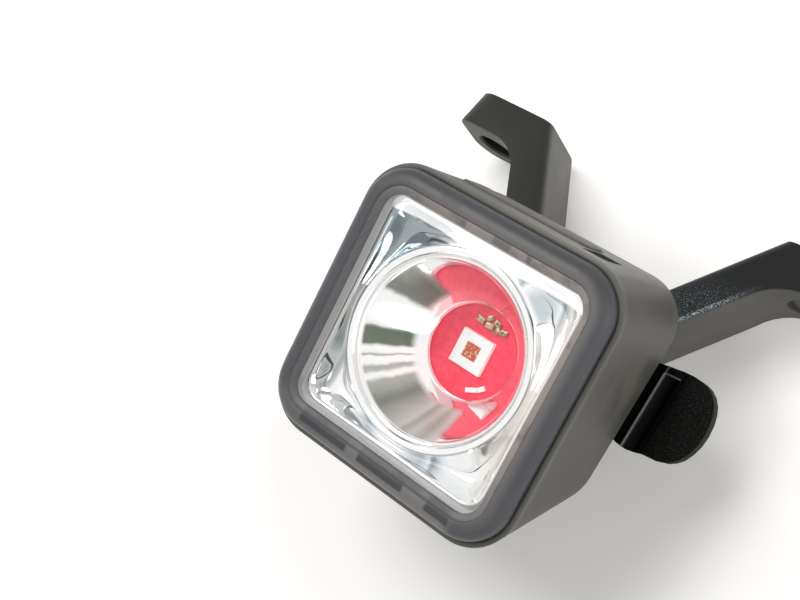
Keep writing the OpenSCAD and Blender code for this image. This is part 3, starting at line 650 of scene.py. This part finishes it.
seat_deep, seat_w, room_deep, room_draft, room_rim = 0.84, 1.1, 7.9, 0.93, 1.2
room_top = lamp(0, 10.6, 12.4)
choose_front(housing, rim_front)
step_in((0.08, 0.06), (0.1, 0.03), (0.2, 0.0), (0.12, -0.05))
push((0, seat_deep * mm, 0))
step_in((seat_w, 0))
push((0, room_deep * mm, 0))
bpy.ops.transform.resize(value=(1, 1, room_draft), center_override=room_top)
step_in((room_rim, 0))
bpy.ops.mesh.delete(type="FACE")
out_of_rear, cover_deep, cover_rim, rear_half = rear_step(0, 1, 0), 1.8, 1.4, lamp(0, 12, 0).y
choose(housing, "FACE", lambda c, n: n.dot(out_of_rear.normalized()) > 0.99 and c.y > rear_half)
step_in((0.12, 0.0), (0.18, 0.0), (1.1, 0.0))
push(-cover_deep * out_of_rear)
step_in((cover_rim, 0))
bpy.ops.mesh.delete(type="FACE")
join_rims(housing)


def round_rect(half_w, half_h, radius, steps=8):
    """Points round a rectangle with round corners."""
    ring = []
    for x, z, start in ((1, 1, 0), (-1, 1, 90), (-1, -1, 180), (1, -1, 270)):
        ring += arc(x * (half_w - radius), z * (half_h - radius), radius, start, steps)
    return ring


def top_block(name, x, y, ring, low, height):
    """A block on the top face, from a height above the lamp's axis upwards."""
    return prism(name, [lamp(x + a, y + b, low) for a, b in ring], Vector((0, 0, height * mm)))


def belly(x, b, h):
    """A point given across, back along and into the rising underside."""
    c, s = cos(belly_rise), sin(belly_rise)
    return lamp(x, belly_start + b * c - h * s, -body_half + b * s + h * c)


button_x, button_y, button_half_w, button_half_l, button_gap = -1.7, 10.65, 7.3, 2.6, 0.2
pip_x, pip_y, pip_half, pip_hole = 7.5, 9.05, 1.0, 1.1
head_y, head_half_w, head_half_l, head_r = 7.75, 1.32, 2.5, 0.6
switch_y, stem_hole_r, well_floor, head_floor = 11.65, 1.15, 12.95, 13.7
pip_hole_low, stem_hole_low, hole_top = 11, 9, 16
well_ring = round_rect(button_half_w + button_gap, button_half_l + button_gap, 1.2)
combine(housing, top_block("button_well", button_x, button_y, well_ring, well_floor, 4))
head_ring = round_rect(head_half_w, head_half_l, head_r)
combine(housing, top_block("head_well", pip_x, head_y, head_ring, head_floor, 2))
combine(housing, bar("pip_hole", (pip_x - pip_hole, pip_y - pip_hole, pip_hole_low),
                     (pip_x + pip_hole, pip_y + pip_hole, hole_top), lamp))
combine(housing, rod("stem_hole", lamp(0, switch_y, stem_hole_low), lamp(0, switch_y, hole_top), stem_hole_r))
port_y, port_half, port_ahead, port_behind, port_low, port_top = 11.9, 4.2, 1.3, 1.7, -14.5, -7
flap_half_w, flap_half_l, flap_t, flap_shift, below_belly = 5.7, 3.4, 1.1, 1, -2
flap_along = (port_y - belly_start) / cos(belly_rise) - flap_shift
combine(housing, bar("flap_well", (-flap_half_w, flap_along - flap_half_l, below_belly),
                     (flap_half_w, flap_along + flap_half_l, flap_t), belly))
combine(housing, bar("port_way", (-port_half, port_y - port_ahead, port_low),
                     (port_half, port_y + port_behind, port_top), lamp))
outward(housing)
smooth(housing, 30)
grey = Finish("grained_grey", Specular_IOR_Level=0.4)
pebble = grey.noise(0.2, 3, 0.55)
mottle = grey.noise(5, 4)
scuff = grey.span(grey.noise(1.2, 5, 0.7, (1, 0.25, 1)), 0.68, 0.76)
tone = grey.mix(grey.span(mottle, 0.3, 0.7), (0.058, 0.0565, 0.0485), (0.093, 0.0905, 0.078))
# Painted highlight: a lighter band along the rounded front rim.
rim_highlight = grey.fade(grey.along((0, 1, 0), lamp(0, 0, 0)), rim_front + 0.15, rim_front + 1.5)
tone = grey.mix(rim_highlight * 0.5, tone, (0.17, 0.166, 0.155))
# Painted light: the top face is painted lighter, more so towards the right, where light from above falls on
# it.
top_light = grey.span(grey.along((0, 0, 1), lamp(0, 0, 0)), 13.4, 13.9)
top_light_rightward = grey.span(grey.along((1, 0, 0)), -6.0, 9.0, 0.1, 0.8)
tone = grey.mix(top_light * top_light_rightward, tone, (0.2, 0.195, 0.17))
grey.set(Base_Color=grey.mix(scuff * 0.25, tone, (0.24, 0.235, 0.215)),
         Roughness=grey.span(mottle, 0.3, 0.7, 0.46, 0.56), Normal=grey.bump(pebble, 0.35, 0.05))
dress(housing, grey, "lamp", "housing")

# Circuit board and light source. A red board carries one white surface-mounted package with a small emitter,
# a few chips beside it, an indicator under its window and, on the back, the switch and the charging socket.
# Painted light: the red board glows faintly in its own colour, though it is no lamp, so that it and its
# reflection look brighter.
mask = Finish("red_solder_mask", Specular_IOR_Level=0.22, Emission_Strength=0.2)
track = mask.noise(1.6, 1, 0.4, (1, 1, 3))
edge_line = mask.between(track, 0.47, 0.5, 0.5, 0.53)
speck = mask.noise(0.7, 3)
red = mask.mix(mask.span(speck, 0.3, 0.7), (0.84, 0.045, 0.085), (0.93, 0.065, 0.12))
mask.set(Base_Color=mask.mix(edge_line * 0.35, red, (0.5, 0.015, 0.03)), Emission_Color=red,
         Roughness=mask.span(speck, 0.3, 0.7, 0.28, 0.42),
         Normal=mask.bump(edge_line * 0.6 + speck * 0.2, 0.3, 0.03))
finish_nodes(mask, "led_board")
board_front, package_half, package_t = 9.6, 1.75, 0.66
package_front = board_front - package_t
package = bar("led_package_body", (-package_half, package_front, -package_half),
              (package_half, board_front, package_half), lamp)
choose_front(package, package_front)
step_in((0.06, 0.04), (0.86, 0.0), (0.05, -0.05), (0.12, -0.24))
outward(package)
smooth(package)
# Painted light: the white package and the switch plunger glow faintly, though the emitter is off.
ceramic = clouded("white_ceramic", (0.8, 3), (0.88, 0.87, 0.85), (0.94, 0.93, 0.92), (0.4, 0.55),
                  Specular_IOR_Level=0.5, Emission_Strength=0.15, Emission_Color=(0.9, 0.9, 0.89))
dress(package, ceramic, "lamp", "led_package")
resin = Finish("emitter_resin", Specular_IOR_Level=0.6)
bond = resin.noise(0.45, 3, 0.6)
gold = resin.span(resin.noise(0.3, 2), 0.55, 0.62)
glow_red = resin.mix(bond, (0.45, 0.03, 0.02), (0.75, 0.16, 0.08))
resin.set(Base_Color=resin.mix(gold, glow_red, (0.85, 0.55, 0.25)),
          Roughness=resin.span(bond, 0.3, 0.7, 0.12, 0.3))
finish_nodes(resin, "led_die")
chip_sizes = ((-0.8, 3.15, 0.42, 0.28, -8), (0.05, 3.72, 0.34, 0.24, 30), (0.3, 3.0, 0.44, 0.28, 6),
              (0.98, 3.55, 0.4, 0.26, -20), (1.25, 2.92, 0.34, 0.24, 55), (1.95, 3.1, 0.4, 0.26, 12),
              (1.7, -3.25, 0.62, 0.24, 28), (2.55, -2.7, 0.4, 0.24, 44))
chip_t = 0.36
chips = []
for x, z, half_w, half_h, askew in chip_sizes:
    c, s = cos(radians(askew)), sin(radians(askew))
    ring = [lamp(x + a * c - b * s, board_front, z + a * s + b * c)
            for a, b in round_rect(half_w, half_h, 0.05, 2)]
    chip = prism("chip", ring, Vector((0, -chip_t * mm, 0)))
    soften(chip, 0.05, 2, 50)
    chips.append(chip)
select_only(chips[0])
for chip in chips:
    chip.select_set(True)
bpy.ops.object.join()
chips[0].name = chips[0].data.name = "board_chips"
brass = Finish("tinned_chips")
solder = brass.noise(0.35, 2, 0.6)
tinned = brass.ramp(solder, [(0.3, (0.09, 0.06, 0.025)), (0.48, (0.42, 0.32, 0.14)),
                             (0.6, (0.66, 0.6, 0.42)), (0.75, (0.14, 0.12, 0.06))])
low_block = brass.fade(brass.along((0, 0, 1), lamp(0, 0, 0)), -1.0, -0.5)
brass.set(Base_Color=brass.mix(low_block, tinned, (0.9, 0.89, 0.87)), Metallic=0.35 - low_block * 0.35,
          Roughness=brass.span(solder, 0.3, 0.7, 0.2, 0.5))
dress(chips[0], brass, "lamp", "board_components")
black_plastic = clouded("moulded_black", (1.0, 3), (0.022, 0.022, 0.024), (0.04, 0.04, 0.043), (0.35, 0.5),
                        Specular_IOR_Level=0.45)
finish_nodes(black_plastic, "tact_switch", "port_tongue")
finish_nodes(ceramic, "switch_plunger")
finish_nodes(steel, "charging_port")
amber = clouded("indicator_resin", (0.6, 2), (0.7, 0.6, 0.32), (0.85, 0.78, 0.5), (0.15, 0.3))
finish_nodes(amber, "indicator_led")

# Reflector. Vacuum-metallised plastic: a square frame with sloping walls, sunken corners, a raised ring lip
# and a deep bowl that opens on the board. It is clamped between the gasket and the board.


def loft(name, rings):
    """A skin drawn through rings that have the same number of points."""
    piece = plate(name, rings[0])
    choose(piece, "FACE", lambda c, n: True)
    for before, after in zip(rings, rings[1:]):
        push((0, 0, 0))
        enter("OBJECT")
        nearest = KDTree(len(before))
        for index, place in enumerate(before):
            nearest.insert(place, index)
        nearest.balance()
        for vertex in piece.data.vertices:
            if vertex.select:
                vertex.co = after[nearest.find(vertex.co)[1]]
        enter("EDIT")
    enter("OBJECT")
    for face in piece.data.polygons:
        face.select = len(face.vertices) > 4
    enter("EDIT")
    bpy.ops.mesh.delete(type="FACE")
    enter("OBJECT")
    return piece


def squared(angle, half, radius):
    """Distance from the axis to a rounded square's edge."""
    c, s = abs(cos(angle)), abs(sin(angle))
    flat = half - radius
    if min(c, s) * half <= flat * max(c, s):
        return half / max(c, s)
    along_ray = flat * (c + s)
    return along_ray + sqrt(along_ray ** 2 - 2 * flat ** 2 + radius ** 2)


around = 192
angles = [2 * pi * k / around for k in range(around)]


def ring_at(reach):
    """Points round the lamp's axis, from the distance and the depth at each angle."""
    places = [(a, *reach(a)) for a in angles]
    return [lamp(r * cos(a), y, r * sin(a)) for a, r, y in places]


floor_r, bowl_r, bowl_top, bowl_end, corner_middle = 4.8, 8.3, 2.35, board_front - 0.3, 8.6
frame_half, frame_r, frame_y, ring_r = 10.2, 1.6, 1.56, 9.44
pocket_steps, bowl_steps, wall_t = 15, 20, 0.3
skirt = ((11.9, 3.3), (11.9, 2.78), (11.84, 2.72), (10.68, 2.72), (10.62, 2.66), (10.6, 1.62), (10.57, 1.5),
         (10.5, 1.46), (10.34, 1.47), (10.24, 1.54))
rings = [ring_at(lambda a: (squared(a, half, half - corner_middle), y)) for half, y in skirt]


def pocket(a, t):
    """Distance and depth part of the way from the frame to the ring, deepest in the corners."""
    sunk = 0.5 + 1.7 * sin(2 * a) ** 2
    return ((1 - t) * squared(a, frame_half, frame_r) + t * ring_r,
            frame_y + sunk * sin(pi * t) ** 0.8)


rings += [ring_at(lambda a: pocket(a, k / pocket_steps)) for k in range(1, pocket_steps)]
lip = [(9.43, 1.6), (9.34, 1.53), (9.18, 1.5), (9.0, 1.52), (8.86, 1.6), (8.78, 1.74), (8.7, 1.9),
       (8.58, 1.96), (8.44, 2.0), (8.35, 2.12), (bowl_r, bowl_top)]
fall = (bowl_r ** 2 - floor_r ** 2) / (bowl_end - bowl_top)
for k in range(1, bowl_steps + 1):
    y = bowl_top + (bowl_end - bowl_top) * k / bowl_steps
    lip.append((sqrt(floor_r ** 2 + fall * (bowl_end - y)), y))
lip += [(floor_r - inwards, bowl_end + down) for inwards, down in ((0.04, 0.03), (0.11, 0.05), (0.15, 0.1))]
rings += [ring_at(lambda a: place) for place in lip]
mirror = loft("reflector_skin", rings)
choose(mirror, "FACE", lambda c, n: True)
bpy.ops.mesh.normals_make_consistent(inside=False)
enter("OBJECT")
crown = max(mirror.data.polygons, key=lambda face: -face.center.y)
if crown.normal.y > 0:
    mirror.data.flip_normals()
select_only(mirror)
shell = mirror.modifiers.new("wall", "SOLIDIFY")
shell.thickness = wall_t * mm
shell.offset = -1
bpy.ops.object.modifier_apply(modifier=shell.name)
smooth(mirror, 60)
chrome = Finish("vacuum_chrome")
to_left = -chrome.along((1, 0, 0), lamp(0, 0, 0))
to_floor = -chrome.along((0, 0, 1), lamp(0, 0, 0))
depth_in = chrome.along((0, 1, 0), lamp(0, 0, 0))
out = (to_left * to_left + to_floor * to_floor).math("SQRT")
waver = (chrome.noise(1.6, 2) - 0.5) * 0.012
turn_round = to_floor.math("ARCTAN2", to_left) * (0.5 / pi) + 0.5 + waver
# Painted reflections: the bowl's wall carries dark and light bands of the surroundings, set by the angle
# round the axis.
room_reflection_stops = [(101, 0.95), (133, 0.92), (138, 0.35), (143, 0.2), (163, 0.22), (166.5, 0.95), (191, 0.97),
        (193, 0.13), (204, 0.16), (206, 0.97), (210.8, 0.97), (212, 0.16), (213.2, 0.97), (218.5, 0.97),
        (220.5, 0.42), (224, 0.5), (225.5, 0.97), (228.5, 0.95), (231, 0.42), (237, 0.36), (247, 0.2),
        (254, 0.36), (262, 0.5), (268, 0.62), (272, 0.36), (278, 0.58), (285, 0.4), (292, 0.6), (300, 0.95)]
painted_wall_reflection = chrome.ramp(turn_round, [(degrees / 360, (v - 0.04 * (1 - v), v, v - 0.05 * (1 - v)))
                                     for degrees, v in room_reflection_stops])
in_bowl = chrome.between(depth_in, 2.2, 2.6, 7.4, 8.4) * chrome.fade(out, bowl_r, bowl_r + 0.15)
# Painted reflections: swirled grey and white patches in the sunken corners.
swirl = chrome.noise(5.5, 0, 0.4)
painted_pocket_reflection = chrome.ramp(swirl, [(0.32, (0.55, 0.6, 0.63)), (0.44, (0.88, 0.9, 0.91)),
                                  (0.5, (0.36, 0.41, 0.44)), (0.56, (0.6, 0.65, 0.67)),
                                  (0.64, (0.92, 0.93, 0.93))])
degrees_round = turn_round * 360
# Painted reflections: where the bowl shows dark surroundings, the wall is made grey and less mirror-like.
painted_dark_reflection = in_bowl * (chrome.between(degrees_round, 134, 141, 160, 168)
                  + chrome.between(degrees_round, 238, 246, 291, 300))
in_pocket = chrome.span(out, 9.5, 9.7) * chrome.span(depth_in, 1.9, 2.5)
# Painted reflections: tinted zones on the frame's left, upper left, right and lower walls, grey lines round
# the mouth and the ring's edge, a pink ring at the floor from the red board, and a white highlight over the
# top. The dust is real.
outside_ring = chrome.span(out, 9.4, 9.6)
upper_left_reflection = chrome.span(to_left - to_floor, 13.6, 14.6) * outside_ring
left_reflection = chrome.span(to_left, 8.6, 9.2) * outside_ring
right_reflection = chrome.span(-to_left, 8.0, 8.8) * outside_ring
lower_reflection = chrome.span(to_floor, 9.5, 9.8) * outside_ring
top_highlight = chrome.span(-to_floor, 9.15, 9.4)
near_board = chrome.span(depth_in, 7.0, 8.2) * chrome.span(-to_floor, 0.0, 2.5)
floor_rim_reflection = chrome.fade(out, floor_r - 0.02, floor_r + 0.08)
mouth_reflection_line = chrome.near(out - 8.62, 0.05, 0.16, 0.5)
edge_reflection_ring = chrome.near(out - 9.42, 0.04, 0.14, 0.6)
dust = chrome.span(chrome.noise(0.25, 3), 0.66, 0.78)
plate_and_reflections = chrome.mix(in_pocket, chrome.mix(in_bowl, (0.93, 0.935, 0.94), painted_wall_reflection), painted_pocket_reflection)
for share, colour in ((mouth_reflection_line, (0.5, 0.45, 0.44)), (edge_reflection_ring, (0.42, 0.45, 0.46)),
                      (left_reflection * 0.7, (0.36, 0.37, 0.355)), (upper_left_reflection * 0.85, (0.27, 0.31, 0.33)),
                      (right_reflection * 0.6, (0.93, 0.86, 0.8)), (lower_reflection * 0.6, (0.86, 0.88, 0.92)),
                      (floor_rim_reflection, (0.95, 0.4, 0.44)), (dust * 0.3, (0.6, 0.6, 0.58)),
                      (top_highlight, (0.94, 0.94, 0.945))):
    plate_and_reflections = chrome.mix(share, plate_and_reflections, colour)
# Painted light: where painted reflections stand, less of the wall is mirror; the chrome also glows faintly,
# white over the top and red near the board, though it is no lamp.
unmirrored_share = (top_highlight * 0.8).math("MAXIMUM", right_reflection * 0.35 + lower_reflection * 0.35)
board_reflection_glow = chrome.mix(near_board, (0.05, 0.05, 0.05), (0.36, 0.13, 0.13))
chrome.set(Base_Color=plate_and_reflections, Metallic=1 - painted_dark_reflection * 0.85 - unmirrored_share, Roughness=0.04 + dust * 0.1 + painted_dark_reflection * 0.2,
           Emission_Color=chrome.mix(top_highlight, board_reflection_glow, (1, 1, 1)), Emission_Strength=0.45,
           Normal=chrome.bump(chrome.noise(3.5, 1, 0.4), 0.04, 0.2))
dress(mirror, chrome, "lamp", "reflector")

# Gasket and window. A thin frame of clear silicone rubber seals a flat window of polycarbonate, cut square
# with round corners. The bezel holds both down.
# Painted light: the gasket glows faintly, standing in for light carried through the clear rubber.
silicone = Finish("clear_silicone", Roughness=0.35, Specular_IOR_Level=0.3, Emission_Strength=0.25)
milk = silicone.noise(1.2, 3)
silicone.set(Base_Color=silicone.mix(milk, (0.5, 0.5, 0.49), (0.6, 0.595, 0.585)),
             Emission_Color=silicone.mix(milk, (0.6, 0.595, 0.585), (0.72, 0.71, 0.7)))
finish_nodes(silicone, "lens_gasket")
window_half, window_r, window_back, window_t = 11.5, 2.5, 1.4, 0.8
window_ring = round_rect(window_half, window_half, window_r)
window = prism("clear_window", [lamp(x, window_back, z) for x, z in window_ring],
               Vector((0, -window_t * mm, 0)))
soften(window, 0.12, 2, 50)
clear = Finish("clear_window", Roughness=0.04, Specular_IOR_Level=0.5)
smear = clear.noise(4, 4, 0.6, (1, 1, 0.4))
clear.set(Base_Color=clear.mix(smear, (0.93, 0.94, 0.95), (1.0, 1.0, 1.0)),
          Alpha=clear.span(smear, 0.35, 0.75, 0.015, 0.04))
dress(window, clear, "lamp", "front_lens")

# Bezel. A satin frame snapped into the housing's rim: a round outer bead, a small bright step and a sloping
# inner band down to the window.
bezel_half, bezel_r, bezel_back, bead_r, bead_steps, bead_power = 13.46, 4.46, 2.7, 1.66, 9, 0.85
bezel_ring = round_rect(bezel_half, bezel_half, bezel_r, 14)
bezel = prism("bezel_frame", [lamp(x, bezel_back, z) for x, z in bezel_ring],
              Vector((0, -(bezel_back - bead_r) * mm, 0)))
choose_front(bezel, bead_r)
for k in range(bead_steps):
    a, b = radians(10 * k), radians(10 * k + 10)
    step_in((bead_r * (cos(a) ** bead_power - abs(cos(b)) ** bead_power),
             bead_r * (sin(b) ** bead_power - sin(a) ** bead_power)))
step_in((0.05, -0.02), (0.04, -0.06), (0.04, -0.1), (0.04, -0.02), (0.06, 0.05), (0.06, 0.0), (0.1, -0.03),
        (0.2, -0.07), (0.2, -0.1), (0.06, -0.04), (0.05, -0.07))
push((0, 0.14 * mm, 0))
bpy.ops.mesh.delete(type="FACE")
bezel_wall, bezel_hollow = 1.8, 2.1
choose(bezel, "FACE", lambda c, n: n.y > 0.99)
step_in((bezel_wall, 0))
push((0, -bezel_hollow * mm, 0))
bpy.ops.mesh.delete(type="FACE")
join_rims(bezel)
smooth(bezel, 45)
satin = Finish("satin_bezel", Specular_IOR_Level=0.25)
across = satin.along((1, 0, 0), lamp(0, 0, 0))
upward = satin.along((0, 0, 1), lamp(0, 0, 0))
corner_in, step_r = bezel_half - bezel_r, bezel_r - bead_r - 0.12
out_x = (abs(across) - corner_in).math("MAXIMUM", 0.0)
out_z = (abs(upward) - corner_in).math("MAXIMUM", 0.0)
ring_out = (out_x * out_x + out_z * out_z).math("SQRT")
inner_band = satin.fade(ring_out, step_r - 0.1, step_r + 0.08)
step_line = satin.between(ring_out, step_r - 0.16, step_r - 0.05, step_r + 0.02, step_r + 0.12)
smudge = satin.span(satin.noise(2.6, 3), 0.5, 0.66)
# Painted light: the bead's slope and the inner band are painted lighter towards the upper right, and the bead
# lighter along part of its bottom. The bead is also painted darker along its top.
lit_side = satin.span(across + upward, -5.0, 10.0)
bead_tone = satin.mix(satin.noise(6, 3), (0.088, 0.09, 0.1), (0.11, 0.112, 0.122))
bead_tone = satin.mix(satin.span(upward, 11.0, 12.6) * 0.5, bead_tone, (0.06, 0.062, 0.064))
lit_bead_slope = satin.fade(ring_out, step_r, step_r + 1.15) * lit_side
bead_tone = satin.mix(lit_bead_slope * 0.7, bead_tone, (0.24, 0.218, 0.212))
band_tone = satin.mix(lit_side, (0.14, 0.143, 0.15), (0.36, 0.32, 0.305))
band_tone = satin.mix(smudge * 0.55, band_tone, (0.13, 0.12, 0.118))
lit_below = satin.span(across, -9.0, 1.0, 0.25, 0.7) * satin.fade(across, 8.4, 10.0)
bead_tone = satin.mix(satin.fade(upward, -11.2, -9.8) * lit_below, bead_tone, (0.27, 0.262, 0.255))
under = satin.fade(upward, -10.6, -10.2) * satin.fade(ring_out, 3.3, 3.6)
over = satin.span(upward, 10.2, 10.6) * satin.fade(ring_out, 2.6, 2.8)
clip_ends = ((under, -8.8, -2.7), (under, -1.6, 4.1), (under, 6.4, 9.4), (over, -3.2, -2.2), (over, 0.4, 2.6),
             (over, 4.0, 4.8))
clips = sum(satin.between(across, start, start + 0.35, end - 0.35, end) * zone
            for zone, start, end in clip_ends)
bead_tone = satin.mix(clips * 0.85, bead_tone, (0.05, 0.05, 0.06))
band_tone = satin.mix(clips * 0.5, band_tone, (0.09, 0.085, 0.085))
both_tones = satin.mix(inner_band, bead_tone, band_tone)
satin.set(Base_Color=satin.mix(step_line * 0.5, both_tones, (0.16, 0.155, 0.16)),
          Roughness=satin.span(smudge, 0.0, 1.0, 0.36, 0.46), Normal=satin.bump(satin.noise(0.22), 0.2, 0.03))
dress(bezel, satin, "lamp", "bezel")

# Power button and indicator. A soft-touch bar in the top face with a fine groove round it, over the switch on
# the board, and beside it a small smoked window for the charge light.
button_low, button_t, stem_r, stem_low, stem_top = 13.5, 0.6, 0.85, 11.25, 13.8
button_ring = round_rect(button_half_w, button_half_l, 1.0)
button = top_block("power_button_bar", button_x, button_y, button_ring, button_low, button_t)
button_z = lamp(0, 0, button_low + button_t).z
choose(button, "FACE", lambda c, n: n.z > 0.99 and abs(c.z - button_z) < 0.02 * mm)
step_in((0.08, 0.08), (0.12, 0.05), (0.3, 0.02))
outward(button)
combine(button, rod("stem", lamp(0, switch_y, stem_low), lamp(0, switch_y, stem_top), stem_r), "UNION")
outward(button)
smooth(button, 40)
soft_touch = clouded("soft_touch", (4, 3), (0.12, 0.117, 0.104), (0.155, 0.15, 0.135), (0.55, 0.68),
                     (0.3, 0.04), (0.18,), Specular_IOR_Level=0.35)
dress(button, soft_touch, "button", "power_button")
head_gap, head_low, head_t, guide_low, guide_top = 0.05, 13.73, 0.29, 12.4, 13.9
pip_ring = round_rect(head_half_w - head_gap, head_half_l - head_gap, head_r - head_gap)
pip_window = top_block("indicator_pip", pip_x, head_y, pip_ring, head_low, head_t)
soften(pip_window, 0.08, 2, 50)
combine(pip_window, bar("guide", (pip_x - pip_half, pip_y - pip_half, guide_low),
                        (pip_x + pip_half, pip_y + pip_half, guide_top), lamp), "UNION")
outward(pip_window)
smooth(pip_window)
smoke = clouded("smoked_window", (1.0, 2), (0.05, 0.05, 0.05), (0.07, 0.07, 0.069), (0.45, 0.55),
                Specular_IOR_Level=0.0)
dress(pip_window, smoke, "lamp", "indicator_window")

# Port cover. A soft rubber flap let flush into the underside, with a small plug for the charging socket and a
# finger lip at its front edge. It bends open on its rear edge.
flap = copy_node("port_flap", "port_cover")
soften(flap, 0.18, 3, 40)
dress(flap, rubber, "flap", "port_cover")

# Table, light and camera. The lamp lies back on a pale matt table, and rests there by its own weight. A broad
# soft light stands over it and a weaker one to its right, as in the photograph.
table_up = Vector((0, -0.857, 0.515)).normalized()
table_point, table_size = lamp(0, 29.6, -10.3), 6
select_none()
bpy.ops.mesh.primitive_plane_add(size=table_size)
floor = bpy.context.object
floor.name = "pale_table"
floor.rotation_mode = "QUATERNION"
floor.rotation_quaternion = table_up.to_track_quat("Z", "Y")
floor.location = table_point
chalky = Finish("pale_table", Roughness=0.7, Specular_IOR_Level=0.2)
wash = chalky.noise(60, 3)
chalky.set(Base_Color=chalky.mix(wash, (0.86, 0.85, 0.82), (0.9, 0.89, 0.87)))
direct = chalky.node("ShaderNodeLightPath", out="Is Camera Ray")
mirrored = direct.math("MAXIMUM", chalky.node("ShaderNodeLightPath", out="Is Glossy Ray"))
# Painted shadow: the table's glow is weaker close to the lamp, so the shadow there looks deeper and ends
# sooner.
away = chalky.node("ShaderNodeVectorMath", {"operation": "LENGTH"}, {0: chalky.place}, out="Value")
beside_shadow = chalky.span(abs(chalky.along((1, 0, 0))), 21, 29)
clear_of_shadow = chalky.span(away, 26 * mm, 36 * mm).math("MAXIMUM", beside_shadow)
lift_with_painted_shadow = chalky.mix(clear_of_shadow, (0.25, 0.248, 0.243), (0.42, 0.416, 0.408))
glow = chalky.node("ShaderNodeEmission", None, {"Color": lift_with_painted_shadow, "Strength": mirrored})
lifted = chalky.node("ShaderNodeAddShader", None, {0: Tone(chalky, chalky.shader.outputs[0]), 1: glow})
behind = chalky.node("ShaderNodeNewGeometry", out="Backfacing")
gone = chalky.node("ShaderNodeBsdfTransparent")
shown = chalky.node("ShaderNodeMixShader", None, {0: behind, 1: lifted, 2: gone})
output = next(n for n in chalky.tree.nodes if n.type == "OUTPUT_MATERIAL")
chalky.feed(output.inputs["Surface"], shown)
floor.data.materials.append(chalky.material)

world = bpy.data.worlds.new("studio")
bpy.context.scene.world = world
world.use_nodes = True
sky = world.node_tree
sky_light, sky_seen = 0.32, 1.0
path = sky.nodes.new("ShaderNodeLightPath")
seen = path.outputs["Is Camera Ray"]
for kind in ("Is Glossy Ray", "Is Transmission Ray"):
    either = sky.nodes.new("ShaderNodeMath")
    either.operation = "MAXIMUM"
    sky.links.new(seen, either.inputs[0])
    sky.links.new(path.outputs[kind], either.inputs[1])
    seen = either.outputs[0]
strength = sky.nodes.new("ShaderNodeMapRange")
strength.inputs["To Min"].default_value = sky_light
strength.inputs["To Max"].default_value = sky_seen
sky.links.new(seen, strength.inputs["Value"])
background = next(n for n in sky.nodes if n.type == "BACKGROUND")
background.inputs["Color"].default_value = (1.0, 0.995, 0.985, 1)
sky.links.new(strength.outputs[0], background.inputs["Strength"])
lamp_middle = lamp(0, 15, 0)


def soft_light(name, away, size, power):
    """A round area light that looks at the lamp from a distance away."""
    light = bpy.data.lights.new(name, "AREA")
    light.shape = "DISK"
    light.size = size
    light.energy = power
    holder = bpy.data.objects.new(name, light)
    bpy.context.collection.objects.link(holder)
    holder.location = lamp_middle + away
    holder.rotation_mode = "QUATERNION"
    holder.rotation_quaternion = away.to_track_quat("Z", "Y")


view_turn, view_tilt, view_roll, view_point = 27.2578, 79.6083, 26.857, lamp(39.87, -86.53, 20.28)
view = Matrix.Identity(4)
for degrees, axis in ((view_turn, "Z"), (view_tilt, "X"), (view_roll, "Z")):
    view = view @ Matrix.Rotation(radians(degrees), 4, axis)
right, up, back = view.to_3x3().col
soft_light("broad_light", 0.7 * (0.6 * back - 0.5 * right + 0.62 * up).normalized(), size=0.42, power=2.8)
soft_light("side_light", Vector((0.6, -0.1, 0.12)), size=0.5, power=1.0)
lens = bpy.data.cameras.new("photo_view")
lens.sensor_width = 36
lens.lens = 49.46
lens.clip_start = 0.01
camera = bpy.data.objects.new("photo_view", lens)
bpy.context.collection.objects.link(camera)
camera.matrix_world = Matrix.Translation(view_point) @ view
bpy.context.scene.camera = camera
bpy.context.scene.view_settings.view_transform = "Standard"
